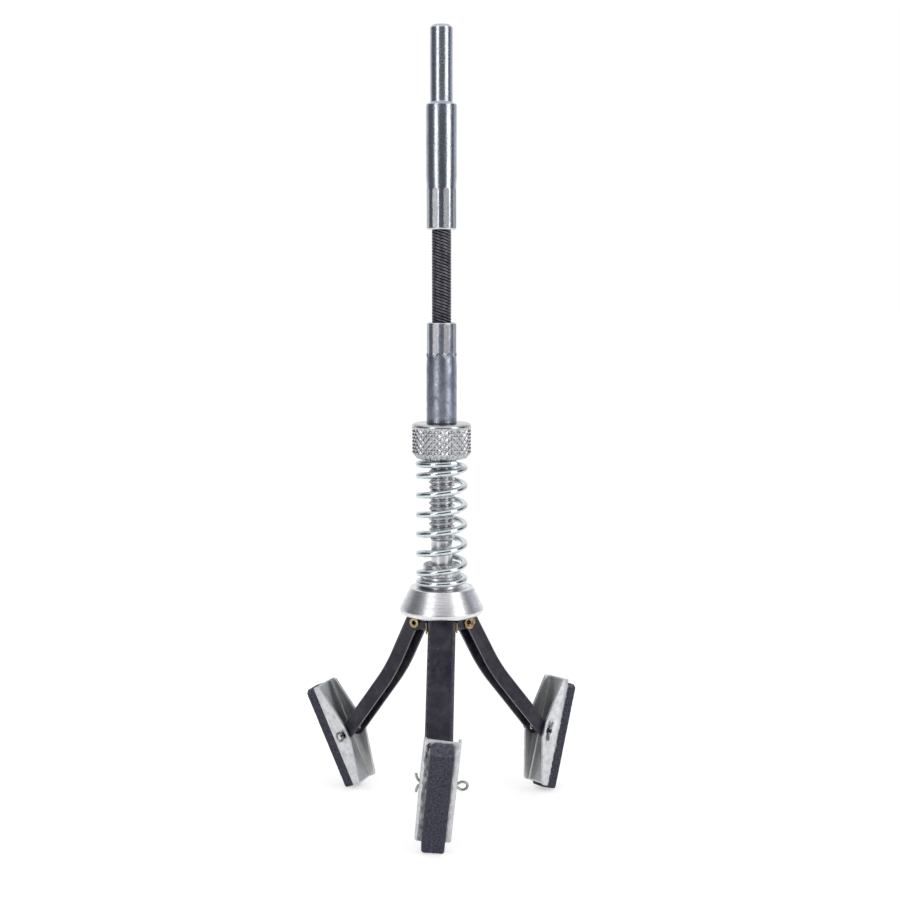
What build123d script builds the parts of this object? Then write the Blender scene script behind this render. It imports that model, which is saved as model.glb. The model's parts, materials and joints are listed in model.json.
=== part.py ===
"""Three-stone cylinder hone standing on its stones, in millimetres, with +Z up the spindle.

The origin is on the spindle's axis, at the shoulder where the shank goes into a drill chuck.
The spring pushes the collar down on the cam toes of three arms, which spreads the stones.
"""

from build123d import *
from math import cos, pi, radians, sin, tan
import os

# Drive end: a turned bar with a thinner shank for the drill chuck.
shank_diameter = 6.0
shank_length = 20.4
shank_end_chamfer = 0.7
bar_diameter = 8.25
bar_edge_chamfer = 0.35
drive_bar_length = 33.2

# Flexible shaft, crimped into both bars. It bends about its middle.
flex_diameter = 5.3
flex_free_length = 24.8
flex_socket_depth = 9.5
flex_bend_limit = 25.0
flex_joint_clearance = 0.05

# Crimps: eight flats pressed into each bar where it grips the flexible shaft.
crimp_count = 8
crimp_diameter = 7.95
crimp_flat_distance = 3.87
crimp_flat_inset = 0.7
drive_crimp_length = 11.4
spindle_crimp_length = 8.8
drive_crimp_turn = 19.5
spindle_crimp_turn = 19.5

# Spindle below the flexible shaft: bar, thread, neck and the tail that holds the yoke.
spindle_bar_length = 27.0
thread_diameter = 7.2
thread_length = 32.6
neck_diameter = 5.9
tail_diameter = 4.0
tail_head_diameter = 5.4
tail_head_height = 1.0

# Adjusting nut.
nut_diameter = 16.2
nut_height = 9.6
nut_top_rim = 0.9
nut_top_rim_diameter = 14.4
nut_bottom_chamfer = 0.8
nut_thread_clearance = 0.06
nut_shoulder_gap = 0.2

# Tension spring, with one closed turn at each end.
spring_diameter = 14.4
spring_wire = 1.8
spring_length = 35.7
spring_active_turns = 5.55
spring_points_per_turn = 12
spring_wire_sides = 8
spring_start_angle = 108.0

# Cone collar of turned aluminium, and the bush that carries it on the neck.
collar_top_diameter = 17.5
collar_diameter = 23.0
collar_height = 7.4
collar_land = 0.5
collar_corner_radius = 1.1
collar_top_chamfer = 0.3
spigot_diameter = 10.4
spigot_height = 3.1
bush_diameter = 8.0
bush_flange_diameter = 10.2
bush_flange_height = 3.4
bush_recess = 0.5
bush_countersink_diameter = 8.2
bush_countersink_depth = 1.2
bush_running_clearance = 0.08

# Leg pivots.
leg_count = 3
first_leg_azimuth = -90.0
pivot_radius = 6.5
pivot_above_ground = 52.7
collar_over_pivot = 2.8
stop_gap = 0.2

# Arms, pressed from sheet as channels that open towards the spindle.
arm_length = 43.2
arm_width = 7.5
arm_depth = 4.2
arm_sheet = 1.0
arm_corner_radius = 1.2
arm_back_over_pivot = 3.4
arm_back_over_pin = 1.95
arm_upper_slope = -8.5
arm_lower_slope = 2.5
arm_bend_radius = 55.0
arm_top_reach = 0.4
arm_end_radius = 2.2
arm_web_setback = 1.4
arm_lean = -1.7
arm_pin_hole_diameter = 2.9
toe_cam_radius = 2.0
toe_cam_turn = 36.0
toe_clearance = 0.2
toe_cam_points = 5
toe_lower_reach = 3.3
toe_lower_height = -0.6
toe_root_reach = 2.6
toe_root_height = -1.3
toe_blend_length = 2.0

# Each leg stands a little differently, because its joints have play.
# The order is front, right, left; a stone leans its lower end inwards.
arm_drop_angles = (35.7, 36.3, 34.5)
shoe_lean_angles = (16.4, 17.1, 23.2)
stone_top_offsets = (-0.1, -1.0, 0.0)
shoe_skew = -5.0

# Rivets, tubular, one through each arm and ear.
rivet_diameter = 2.1
rivet_bore = 1.2
rivet_head_diameter = 2.9
rivet_flare_diameter = 3.3
rivet_head_height = 0.4
rivet_head_gap = 0.1
rivet_running_clearance = 0.18

# Yoke with three ears.
ear_clearance = 0.25
ear_radius = 2.0
yoke_hub_diameter = 6.6
yoke_under_pivot = 2.4

# Stone holders, pressed channels with flanges that rise to a peak at the pin.
holder_length = 30.8
holder_clearance = 0.3
holder_sheet = 0.75
holder_corner_radius = 0.9
holder_back_distance = 3.75
holder_end_depth = 2.2
holder_peak_depth = 5.4
holder_peak_flat = 4.0
holder_edge_radius = 0.9

# Stones.
stone_width = 6.1
stone_thickness = 4.35
stone_corner_radius = 0.8

# Cotter pins.
cotter_diameter = 1.9
cotter_hole_clearance = 0.06
cotter_eye_diameter = 3.0
cotter_wire = 0.8
cotter_leg_length = 2.7
cotter_leg_width = 1.5
cotter_leg_spread = 70.0

# Heights along the spindle, down from the shoulder of the shank.
drive_shoulder = 0.0
drive_base = drive_shoulder - drive_bar_length
flex_middle = drive_base - flex_free_length / 2
spindle_top = drive_base - flex_free_length
spindle_shoulder = spindle_top - spindle_bar_length
thread_end = spindle_shoulder - thread_length
nut_top = spindle_shoulder - nut_shoulder_gap
nut_base = nut_top - nut_height
collar_top = nut_base - spring_length
collar_base = collar_top - collar_height
spigot_top = collar_top + spigot_height
bush_top = spigot_top + bush_flange_height
pivot_height = collar_base - collar_over_pivot
yoke_top = collar_base - stop_gap
yoke_base = pivot_height - yoke_under_pivot
ground_height = pivot_height - pivot_above_ground

# Widths across a leg, from its middle plane.
arm_half_width = arm_width / 2
arm_inner_half = arm_half_width - arm_sheet
ear_half_width = arm_inner_half - ear_clearance
holder_inner_half = arm_half_width + holder_clearance
holder_half_width = holder_inner_half + holder_sheet
stone_face_distance = holder_back_distance + stone_thickness

os.makedirs("parts", exist_ok=True)


def save(piece, name):
    """Label one finished piece and write its STEP file."""
    piece.label = name
    export_step(piece, f"parts/{name}.step")


def leg_directions(index):
    """Outward and sideways directions of a leg."""
    azimuth = first_leg_azimuth + index * 360 / leg_count
    outward = Vector(1, 0, 0).rotate(Axis.Z, azimuth)
    sideways = Vector(0, 1, 0).rotate(Axis.Z, azimuth)
    return outward, sideways


def arm_plane(index):
    """Middle plane of an arm: origin at its pivot, X to its pin, Y out of its back."""
    outward, sideways = leg_directions(index)
    drop = radians(arm_drop_angles[index])
    to_pin = outward * sin(drop) - Vector(0, 0, 1) * cos(drop)
    lean_axis = Axis((0, 0, 0), outward)
    pivot = outward * pivot_radius + Vector(0, 0, pivot_height)
    return Plane(
        origin=pivot,
        x_dir=to_pin.rotate(lean_axis, arm_lean),
        z_dir=-sideways.rotate(lean_axis, arm_lean),
    )


def shoe_plane(index):
    """Middle plane of a shoe: origin in its pin, X out of the stone, Y up the stone."""
    outward, sideways = leg_directions(index)
    lean = radians(shoe_lean_angles[index])
    arm = arm_plane(index)
    pin = arm.origin + arm.x_dir * arm_length
    face = outward * cos(lean) - Vector(0, 0, 1) * sin(lean)
    skew_axis = Axis((0, 0, 0), face)
    across = sideways.rotate(skew_axis, shoe_skew)
    return Plane(origin=pin, x_dir=face, z_dir=-across)


def crimped_bar(bar, base, length, turn):
    """Press the crimp flats into the end of a bar; base is the lower end of the crimp."""
    flat_length = length - 2 * crimp_flat_inset
    flat_depth = bar_diameter / 2 - crimp_flat_distance
    with BuildPart() as pressed:
        add(bar)
        with BuildSketch(Plane.XY.offset(base)):
            Circle(bar_diameter)
            Circle(crimp_diameter / 2, mode=Mode.SUBTRACT)
        extrude(amount=length, mode=Mode.SUBTRACT)
        with Locations((0, 0, base + length / 2)):
            with PolarLocations(crimp_flat_distance + flat_depth, crimp_count, start_angle=turn):
                Box(2 * flat_depth, bar_diameter, flat_length, mode=Mode.SUBTRACT)
    return pressed.part


# Drive shank: chuck end, shoulder, bar and the socket for the flexible shaft.
with BuildPart() as drive_bar:
    with BuildSketch(Plane.XY.offset(drive_base)):
        Circle(bar_diameter / 2)
    extrude(amount=drive_bar_length)
    chamfer(drive_bar.edges().group_by(Axis.Z)[-1], bar_edge_chamfer)
    with BuildSketch(Plane.XY.offset(drive_shoulder)):
        Circle(shank_diameter / 2)
    extrude(amount=shank_length)
    chamfer(drive_bar.edges().group_by(Axis.Z)[-1], shank_end_chamfer)
    with BuildSketch(Plane.XY.offset(drive_base)):
        Circle(flex_diameter / 2)
    extrude(amount=flex_socket_depth, mode=Mode.SUBTRACT)
drive_shank = crimped_bar(drive_bar.part, drive_base, drive_crimp_length, drive_crimp_turn)
save(drive_shank, "drive_shank")

# Threaded spindle: bar with a socket on top, thread, neck, and a tail peened under the yoke.
with BuildPart() as spindle_bar:
    with BuildSketch(Plane.XZ):
        with BuildLine():
            Polyline(
                (0, yoke_base - tail_head_height),
                (tail_head_diameter / 2 - tail_head_height / 2, yoke_base - tail_head_height),
                (tail_head_diameter / 2, yoke_base - tail_head_height / 2),
                (tail_head_diameter / 2, yoke_base),
                (tail_diameter / 2, yoke_base),
                (tail_diameter / 2, yoke_top),
                (neck_diameter / 2, yoke_top),
                (neck_diameter / 2, thread_end - (thread_diameter - neck_diameter) / 2),
                (thread_diameter / 2, thread_end),
                (thread_diameter / 2, spindle_shoulder),
                (bar_diameter / 2 - bar_edge_chamfer, spindle_shoulder),
                (bar_diameter / 2, spindle_shoulder + bar_edge_chamfer),
                (bar_diameter / 2, spindle_top),
                (flex_diameter / 2, spindle_top),
                (flex_diameter / 2, spindle_top - flex_socket_depth),
                (0, spindle_top - flex_socket_depth),
                close=True,
            )
        make_face()
    revolve(axis=Axis.Z)
crimp_base = spindle_top - spindle_crimp_length
threaded_spindle = crimped_bar(spindle_bar.part, crimp_base, spindle_crimp_length, spindle_crimp_turn)
save(threaded_spindle, "threaded_spindle")

# Flexible shaft, in two halves that meet in a ball and cup at the middle of the bend.
flex_radius = flex_diameter / 2
flex_cup_rim = flex_radius * tan(radians(flex_bend_limit)) + 2 * flex_joint_clearance
with BuildPart() as flex_shaft_lower:
    with BuildSketch(Plane.XY.offset(spindle_top - flex_socket_depth)):
        Circle(flex_radius)
    extrude(amount=flex_socket_depth + flex_free_length / 2)
    with Locations((0, 0, flex_middle)):
        Sphere(flex_radius)
save(flex_shaft_lower.part, "flex_shaft_lower")

with BuildPart() as flex_shaft_upper:
    with BuildSketch(Plane.XY.offset(flex_middle + flex_cup_rim)):
        Circle(flex_radius)
    extrude(amount=flex_free_length / 2 - flex_cup_rim + flex_socket_depth)
    with Locations((0, 0, flex_middle)):
        Sphere(flex_radius + flex_joint_clearance, mode=Mode.SUBTRACT)
save(flex_shaft_upper.part, "flex_shaft_upper")

# Adjusting nut, a plain drum where the knurl is, with a domed top rim.
with BuildPart() as adjusting_nut:
    with BuildSketch(Plane.XZ):
        with BuildLine():
            bore_radius = thread_diameter / 2 + nut_thread_clearance
            rim_radius = nut_top_rim_diameter / 2
            drum_radius = nut_diameter / 2
            Polyline(
                (rim_radius, nut_top),
                (bore_radius, nut_top),
                (bore_radius, nut_base),
                (drum_radius - nut_bottom_chamfer, nut_base),
                (drum_radius, nut_base + nut_bottom_chamfer),
                (drum_radius, nut_top - nut_top_rim),
            )
            TangentArc((drum_radius, nut_top - nut_top_rim), (rim_radius, nut_top), tangent=(0, 1))
        make_face()
    revolve(axis=Axis.Z)
save(adjusting_nut.part, "adjusting_nut")

# Tension spring: the wire's middle line is one helix whose pitch closes up at both ends.
# Its round wire has eight sides, to keep the solid light.
spring_pitch_radius = (spring_diameter - spring_wire) / 2
spring_rise = spring_length - spring_wire
spring_turns = spring_active_turns + 2
spring_pitch = (spring_rise - 2 * spring_wire) / spring_active_turns


def spring_point(turn):
    """Point of the wire's middle line, by turns from its lower end."""
    lower_turn = min(turn, 1.0)
    upper_turn = max(turn - spring_turns + 1, 0.0)
    active_turn = turn - lower_turn - upper_turn
    height = (lower_turn + upper_turn) * spring_wire + active_turn * spring_pitch
    angle = radians(spring_start_angle) + 2 * pi * turn
    return Vector(
        spring_pitch_radius * cos(angle),
        spring_pitch_radius * sin(angle),
        collar_top + spring_wire / 2 + height,
    )


spring_steps = round(spring_turns * spring_points_per_turn)
with BuildPart() as tension_spring:
    with BuildLine() as wire_line:
        Spline([spring_point(spring_turns * step / spring_steps) for step in range(spring_steps + 1)])
    with BuildSketch(Plane(origin=wire_line.line @ 0, z_dir=wire_line.line % 0)):
        RegularPolygon(spring_wire / 2, spring_wire_sides)
    sweep(path=wire_line.line, is_frenet=True)
save(tension_spring.part, "tension_spring")

# Cone collar with its spigot, bored for the bush.
with BuildPart() as spring_collar:
    with BuildSketch(Plane.XZ):
        with BuildLine():
            Polyline(
                (bush_diameter / 2, collar_base),
                (collar_diameter / 2, collar_base),
                (collar_diameter / 2, collar_base + collar_corner_radius + collar_land),
                (collar_top_diameter / 2, collar_top),
                (spigot_diameter / 2, collar_top),
                (spigot_diameter / 2, spigot_top),
                (bush_diameter / 2, spigot_top),
                close=True,
            )
        make_face()
        fillet(vertices().group_by(Axis.X)[-1].sort_by(Axis.Y)[0], collar_corner_radius)
        chamfer(vertices().group_by(Axis.Y)[-2].sort_by(Axis.X)[-1], collar_top_chamfer)
    revolve(axis=Axis.Z)
save(spring_collar.part, "spring_collar")

# Guide bush, pressed into the collar, with a countersunk flange on the spigot.
with BuildPart() as guide_bush:
    with BuildSketch(Plane.XY.offset(collar_base + bush_recess)):
        Circle(bush_diameter / 2)
    extrude(amount=spigot_top - collar_base - bush_recess)
    with BuildSketch(Plane.XY.offset(spigot_top)):
        Circle(bush_flange_diameter / 2)
    extrude(amount=bush_flange_height)
    bush_bore = neck_diameter / 2 + bush_running_clearance
    with BuildSketch(Plane.XY.offset(collar_base)):
        Circle(bush_bore)
    extrude(amount=bush_top - collar_base, mode=Mode.SUBTRACT)
    with BuildSketch(Plane.XY.offset(bush_top - bush_countersink_depth)):
        Circle(bush_bore)
    with BuildSketch(Plane.XY.offset(bush_top)):
        Circle(bush_countersink_diameter / 2)
    loft(mode=Mode.SUBTRACT)
save(guide_bush.part, "guide_bush")

# Yoke: a hub with three ears that stand between the flanges of the arms.
with BuildPart() as yoke:
    with BuildSketch(Plane.XY.offset(yoke_base)):
        Circle(yoke_hub_diameter / 2)
    extrude(amount=yoke_top - yoke_base)
    for leg in range(leg_count):
        outward, sideways = leg_directions(leg)
        ear_plane = Plane(origin=(0, 0, pivot_height), x_dir=outward, z_dir=-sideways)
        with BuildSketch(ear_plane):
            with Locations((pivot_radius, 0)):
                Circle(ear_radius)
            with BuildLine():
                Polyline(
                    (0, yoke_base - pivot_height),
                    (yoke_hub_diameter / 2, yoke_base - pivot_height),
                    (pivot_radius, -ear_radius),
                    (pivot_radius, ear_radius),
                    (yoke_hub_diameter / 2, yoke_top - pivot_height),
                    (0, yoke_top - pivot_height),
                    close=True,
                )
            make_face()
        extrude(amount=ear_half_width, both=True)
        with BuildSketch(ear_plane):
            with Locations((pivot_radius, 0)):
                Circle(rivet_diameter / 2)
        extrude(amount=arm_width, both=True, mode=Mode.SUBTRACT)
    with BuildSketch(Plane.XY.offset(yoke_base)):
        Circle(tail_diameter / 2)
    extrude(amount=yoke_top - yoke_base, mode=Mode.SUBTRACT)
save(yoke.part, "yoke")

# Arm outline, in the arm's own plane. The back is two straight runs joined by a bend.
upper_slope = tan(radians(arm_upper_slope))
lower_slope = tan(radians(arm_lower_slope))
arm_end = arm_length + arm_end_radius
back_corner_x = (arm_back_over_pivot - arm_back_over_pin + lower_slope * arm_length) / (
    lower_slope - upper_slope
)
back_start = (-arm_top_reach, arm_back_over_pivot - upper_slope * arm_top_reach)
back_corner = (back_corner_x, arm_back_over_pivot + upper_slope * back_corner_x)
back_end = (arm_end, arm_back_over_pin + lower_slope * arm_end_radius)


def in_arm_plane(reach, height, drop):
    """Turn a point by the pivot, given inwards and upwards, into the arm's own plane."""
    x = -reach * sin(drop) - height * cos(drop)
    y = -reach * cos(drop) + height * sin(drop)
    return x, y


def toe_cam_point(turn, drop):
    """Point of the cam that lifts a flat collar evenly: an involute of the cam circle."""
    lift = collar_over_pivot - toe_clearance + toe_cam_radius * turn
    reach = toe_cam_radius * cos(turn) + lift * sin(turn)
    height = lift * cos(turn) - toe_cam_radius * sin(turn)
    return in_arm_plane(reach, height, drop)


def toe_outline(drop):
    """Close the flange head: cam on top, nose towards the spindle, root on the free edge."""
    turns = [radians(toe_cam_turn) * step / (toe_cam_points - 1) for step in range(toe_cam_points)]
    cam = [toe_cam_point(turn, drop) for turn in turns]
    Line(back_start, cam[0])
    Spline(*cam)
    lower = in_arm_plane(toe_lower_reach, toe_lower_height, drop)
    root = in_arm_plane(toe_root_reach, toe_root_height, drop)
    free_edge_y = arm_back_over_pivot + upper_slope * toe_blend_length - arm_depth
    free_edge = (toe_blend_length, free_edge_y)
    back_inside = (toe_blend_length, arm_back_over_pivot - arm_sheet)
    Line(cam[-1], lower)
    Line(lower, root)
    Line(root, free_edge)
    Line(free_edge, back_inside)
    Line(back_inside, (back_start[0], back_start[1] - arm_sheet))
    Line((back_start[0], back_start[1] - arm_sheet), back_start)


def make_arm(index):
    """One arm: a swept channel with a cam toe on each flange."""
    plane = arm_plane(index)
    drop = radians(arm_drop_angles[index])
    with BuildPart() as arm:
        with BuildLine(plane) as back_line:
            FilletPolyline(back_start, back_corner, back_end, radius=arm_bend_radius)
        section = Plane(origin=back_line.line @ 0, x_dir=plane.z_dir, z_dir=back_line.line % 0)
        with BuildSketch(section):
            Rectangle(arm_width, arm_depth, align=(Align.CENTER, Align.MIN))
            fillet(vertices().group_by(Axis.Y)[0], arm_corner_radius)
            with Locations((0, arm_sheet)):
                Rectangle(
                    2 * arm_inner_half,
                    arm_depth,
                    align=(Align.CENTER, Align.MIN),
                    mode=Mode.SUBTRACT,
                )
        sweep(path=back_line.line)
        for side in (-1, 1):
            with BuildSketch(plane.offset(side * (arm_inner_half + arm_sheet / 2))):
                with BuildLine():
                    toe_outline(drop)
                make_face()
            extrude(amount=arm_sheet / 2, both=True)
        with BuildSketch(plane):
            with Locations((arm_length, 0)):
                Circle(arm_pin_hole_diameter / 2)
            Circle(rivet_diameter / 2 + rivet_running_clearance)
        extrude(amount=arm_width, both=True, mode=Mode.SUBTRACT)
        with BuildSketch(plane):
            with Locations((arm_length + arm_end_radius, 0)):
                Rectangle(2 * arm_end_radius, 4 * arm_end_radius)
            with Locations((arm_length, 0)):
                Circle(arm_end_radius, mode=Mode.SUBTRACT)
        extrude(amount=arm_width, both=True, mode=Mode.SUBTRACT)
        with BuildSketch(plane):
            with Locations((arm_length - arm_web_setback, 0)):
                Rectangle(2 * arm_depth, 4 * arm_depth, align=(Align.MIN, Align.CENTER))
        extrude(amount=arm_inner_half, both=True, mode=Mode.SUBTRACT)
    return arm.part


def make_rivet(index):
    """One tubular rivet: a rolled head on one side and a flare on the other."""
    outward, sideways = leg_directions(index)
    middle = outward * pivot_radius + Vector(0, 0, pivot_height)
    head_start = arm_half_width + rivet_head_gap
    head_end = head_start + rivet_head_height
    with BuildPart() as rivet:
        with BuildSketch(Plane(origin=middle, x_dir=outward, z_dir=-sideways.cross(outward))):
            with BuildLine():
                Polyline(
                    (rivet_bore / 2, -head_end),
                    (rivet_flare_diameter / 2 - rivet_head_height / 2, -head_end),
                    (rivet_flare_diameter / 2, -head_start),
                    (rivet_diameter / 2, -head_start),
                    (rivet_diameter / 2, head_start),
                    (rivet_head_diameter / 2, head_start),
                    (rivet_head_diameter / 2 - rivet_head_height / 2, head_end),
                    (rivet_bore / 2, head_end),
                    close=True,
                )
            make_face()
        revolve(axis=Axis(middle, sideways))
    return rivet.part


def make_holder(index):
    """One stone holder: a channel whose flanges rise to a peak at the pin."""
    plane = shoe_plane(index)
    back = holder_back_distance
    with BuildPart() as holder:
        with BuildSketch(plane.offset(-holder_half_width)):
            with BuildLine():
                Polyline(
                    (back, -holder_length / 2),
                    (back, holder_length / 2),
                    (back - holder_end_depth, holder_length / 2),
                    (back - holder_peak_depth, holder_peak_flat / 2),
                    (back - holder_peak_depth, -holder_peak_flat / 2),
                    (back - holder_end_depth, -holder_length / 2),
                    close=True,
                )
            make_face()
            fillet(vertices().group_by(Axis.X)[0:2], holder_edge_radius)
        extrude(amount=2 * holder_half_width)
        with BuildSketch(plane.offset(-holder_inner_half)):
            with Locations((back - holder_sheet, 0)):
                Rectangle(2 * back, 2 * holder_length, align=(Align.MAX, Align.CENTER))
        extrude(amount=2 * holder_inner_half, mode=Mode.SUBTRACT)
        back_face = holder.faces().sort_by(Axis(plane.origin, plane.x_dir))[-1]
        fillet(back_face.edges().filter_by(Axis((0, 0, 0), plane.y_dir)), holder_corner_radius)
        with BuildSketch(plane):
            Circle(cotter_diameter / 2 + cotter_hole_clearance)
        extrude(amount=2 * holder_half_width, both=True, mode=Mode.SUBTRACT)
    return holder.part


def make_stone(index):
    """One stone, set on the back of its holder so that its lower edge stands on the ground."""
    plane = shoe_plane(index)
    face_fall = abs(plane.x_dir.Z)
    side_fall = abs(plane.z_dir.Z)
    corner_drop = (
        (stone_face_distance - stone_corner_radius) * face_fall
        + (stone_width / 2 - stone_corner_radius) * side_fall
        + stone_corner_radius
    )
    corner_height = (corner_drop + ground_height - plane.origin.Z) / plane.y_dir.Z
    bottom = corner_height - stone_corner_radius
    top = holder_length / 2 + stone_top_offsets[index]
    with BuildPart() as stone:
        with BuildSketch(plane.offset(-stone_width / 2)):
            with Locations((holder_back_distance, bottom)):
                Rectangle(stone_thickness, top - bottom, align=(Align.MIN, Align.MIN))
        extrude(amount=stone_width)
        glued_face = stone.faces().sort_by(Axis(plane.origin, plane.x_dir))[0]
        fillet(stone.edges() - glued_face.edges(), stone_corner_radius)
    return stone.part


def make_cotter(index):
    """One cotter pin: a split shank with an eye on one side and two spread legs on the other."""
    plane = shoe_plane(index)
    side_view = Plane(origin=plane.origin, x_dir=-plane.z_dir, z_dir=plane.x_dir)
    eye_middle = holder_half_width + cotter_eye_diameter / 2 + cotter_hole_clearance
    eye_inside = eye_middle - (cotter_eye_diameter - cotter_wire) / 2
    half_wire = cotter_wire / 2
    fork = -(holder_half_width + half_wire + cotter_hole_clearance)
    spread = radians(cotter_leg_spread)
    tip_x = fork - cotter_leg_length * cos(spread)
    tip_y = cotter_leg_length * sin(spread)
    edge_x = half_wire * sin(spread)
    edge_y = half_wire * cos(spread)
    crotch = half_wire / sin(spread)
    with BuildPart() as cotter:
        with BuildSketch(plane.offset(-eye_inside)):
            Circle(cotter_diameter / 2)
        extrude(amount=eye_inside - fork)
        with BuildSketch(side_view):
            with Locations((eye_middle, 0)):
                Circle(cotter_eye_diameter / 2)
                Circle(cotter_eye_diameter / 2 - cotter_wire, mode=Mode.SUBTRACT)
        extrude(amount=half_wire, both=True)
        with BuildSketch(side_view):
            with BuildLine():
                Polyline(
                    (fork + crotch, 0),
                    (tip_x + edge_x, tip_y + edge_y),
                    (tip_x - edge_x, tip_y - edge_y),
                    (fork - crotch, 0),
                    (tip_x - edge_x, edge_y - tip_y),
                    (tip_x + edge_x, -tip_y - edge_y),
                    close=True,
                )
            make_face()
        extrude(amount=cotter_leg_width / 2, both=True)
    return cotter.part


for leg in range(leg_count):
    save(make_arm(leg), f"arm_{leg + 1}")
    save(make_rivet(leg), f"arm_rivet_{leg + 1}")
    save(make_holder(leg), f"stone_holder_{leg + 1}")
    save(make_stone(leg), f"stone_{leg + 1}")
    save(make_cotter(leg), f"cotter_pin_{leg + 1}")
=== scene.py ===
"""Studio scene of a three-stone cylinder hone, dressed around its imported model.

Lengths are metres, in the model's own frame: +Z up the spindle, origin at the shoulder of the
chuck shank. Sizes in the classes are given in millimetres through mm().
"""

import json
import logging
from collections.abc import Callable, Iterator, Mapping, Sequence
from dataclasses import dataclass
from enum import Enum
from math import atan2, cos, hypot, pi, radians, sin, tan, tau

import bmesh
import bpy
from bmesh.types import BMEdge, BMesh, BMFace, BMLayerItem
from bpy.types import ID, Material, Mesh, Node, NodeSocket, NodeTree, Object
from mathutils import Matrix, Vector, noise
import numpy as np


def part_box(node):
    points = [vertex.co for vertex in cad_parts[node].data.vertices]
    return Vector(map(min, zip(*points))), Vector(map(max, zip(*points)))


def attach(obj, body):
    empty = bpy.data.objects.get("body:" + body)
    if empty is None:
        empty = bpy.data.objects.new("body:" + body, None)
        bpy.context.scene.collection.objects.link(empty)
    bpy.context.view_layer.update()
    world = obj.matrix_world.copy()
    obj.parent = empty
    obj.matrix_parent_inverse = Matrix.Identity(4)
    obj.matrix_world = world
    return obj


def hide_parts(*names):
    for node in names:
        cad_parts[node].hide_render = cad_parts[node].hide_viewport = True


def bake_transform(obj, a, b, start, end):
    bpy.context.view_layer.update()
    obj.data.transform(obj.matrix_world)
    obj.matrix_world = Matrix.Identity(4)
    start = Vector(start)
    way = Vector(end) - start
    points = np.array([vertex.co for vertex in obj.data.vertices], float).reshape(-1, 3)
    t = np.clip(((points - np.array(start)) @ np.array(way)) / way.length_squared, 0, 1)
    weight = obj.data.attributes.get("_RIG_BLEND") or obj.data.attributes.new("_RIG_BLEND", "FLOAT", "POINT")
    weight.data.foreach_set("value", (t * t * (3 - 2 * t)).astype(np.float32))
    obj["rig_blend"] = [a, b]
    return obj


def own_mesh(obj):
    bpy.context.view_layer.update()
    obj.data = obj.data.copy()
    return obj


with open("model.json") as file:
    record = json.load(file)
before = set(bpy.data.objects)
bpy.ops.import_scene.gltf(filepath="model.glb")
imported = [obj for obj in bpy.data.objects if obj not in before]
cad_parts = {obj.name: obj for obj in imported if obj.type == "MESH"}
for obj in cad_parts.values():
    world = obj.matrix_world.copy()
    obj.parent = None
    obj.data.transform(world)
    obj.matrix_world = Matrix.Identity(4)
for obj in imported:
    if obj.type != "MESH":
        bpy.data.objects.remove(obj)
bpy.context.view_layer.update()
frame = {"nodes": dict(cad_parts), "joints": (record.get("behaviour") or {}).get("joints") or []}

log = logging.getLogger("cylinder_hone")

Colour = tuple[float, float, float, float]
Pair = tuple[float, float]
Outline = Sequence[tuple[float, float]]


def mm(value: float) -> float:
    """Turn millimetres into metres."""
    return value * 0.001


def colour(red: float, green: float, blue: float) -> Colour:
    """Make an opaque colour."""
    return (red, green, blue, 1.0)


def span(node: str) -> tuple[float, float]:
    """Lowest and highest point of one of the frame's own pieces."""
    low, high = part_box(node)
    return low.z, high.z


# The numbers of the legs, and the frame's joints by name.
LEGS = (1, 2, 3)
JOINTS = {joint["name"]: joint for joint in frame["joints"]}

# Heights of the frame's own pieces, which the new pieces keep.
DRIVE_BASE, DRIVE_TOP = span("drive_shank")
SPINDLE_TOP = span("threaded_spindle")[1]
NUT_BASE, NUT_TOP = span("adjusting_nut")
SPRING_BASE, SPRING_TOP = span("tension_spring")
COLLAR_BASE, SPIGOT_TOP = span("spring_collar")
BUSH_TOP = span("guide_bush")[1]
YOKE_BASE, YOKE_TOP = span("yoke")
GROUND = min(span(f"stone_{leg}")[0] for leg in LEGS)

# Points nearer than this are joined, in a turned mesh and in a copy; nearer to the axis, they stay.
SEAM = mm(0.0005)
WELD = mm(0.001)
ON_AXIS = mm(0.01)

# Turns in degrees: of faces in one plane, of a sharp edge, of a square edge, and of an edge that
# is shaded sharp on pressed sheet.
FLAT_TURN = 1.0
SHARP_TURN = 35.0
SQUARE_TURN = 60.0
SHEET_SHARP = 30.0

# Axes of a point, and places of a piece's finishes in its material list.
X, Y, Z = range(3)
MAIN, SECOND, THIRD = range(3)

WHITE = colour(1.0, 1.0, 1.0)


class Domain(Enum):
    """What a node group socket carries."""

    FLOAT = "NodeSocketFloat"
    VECTOR = "NodeSocketVector"


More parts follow.
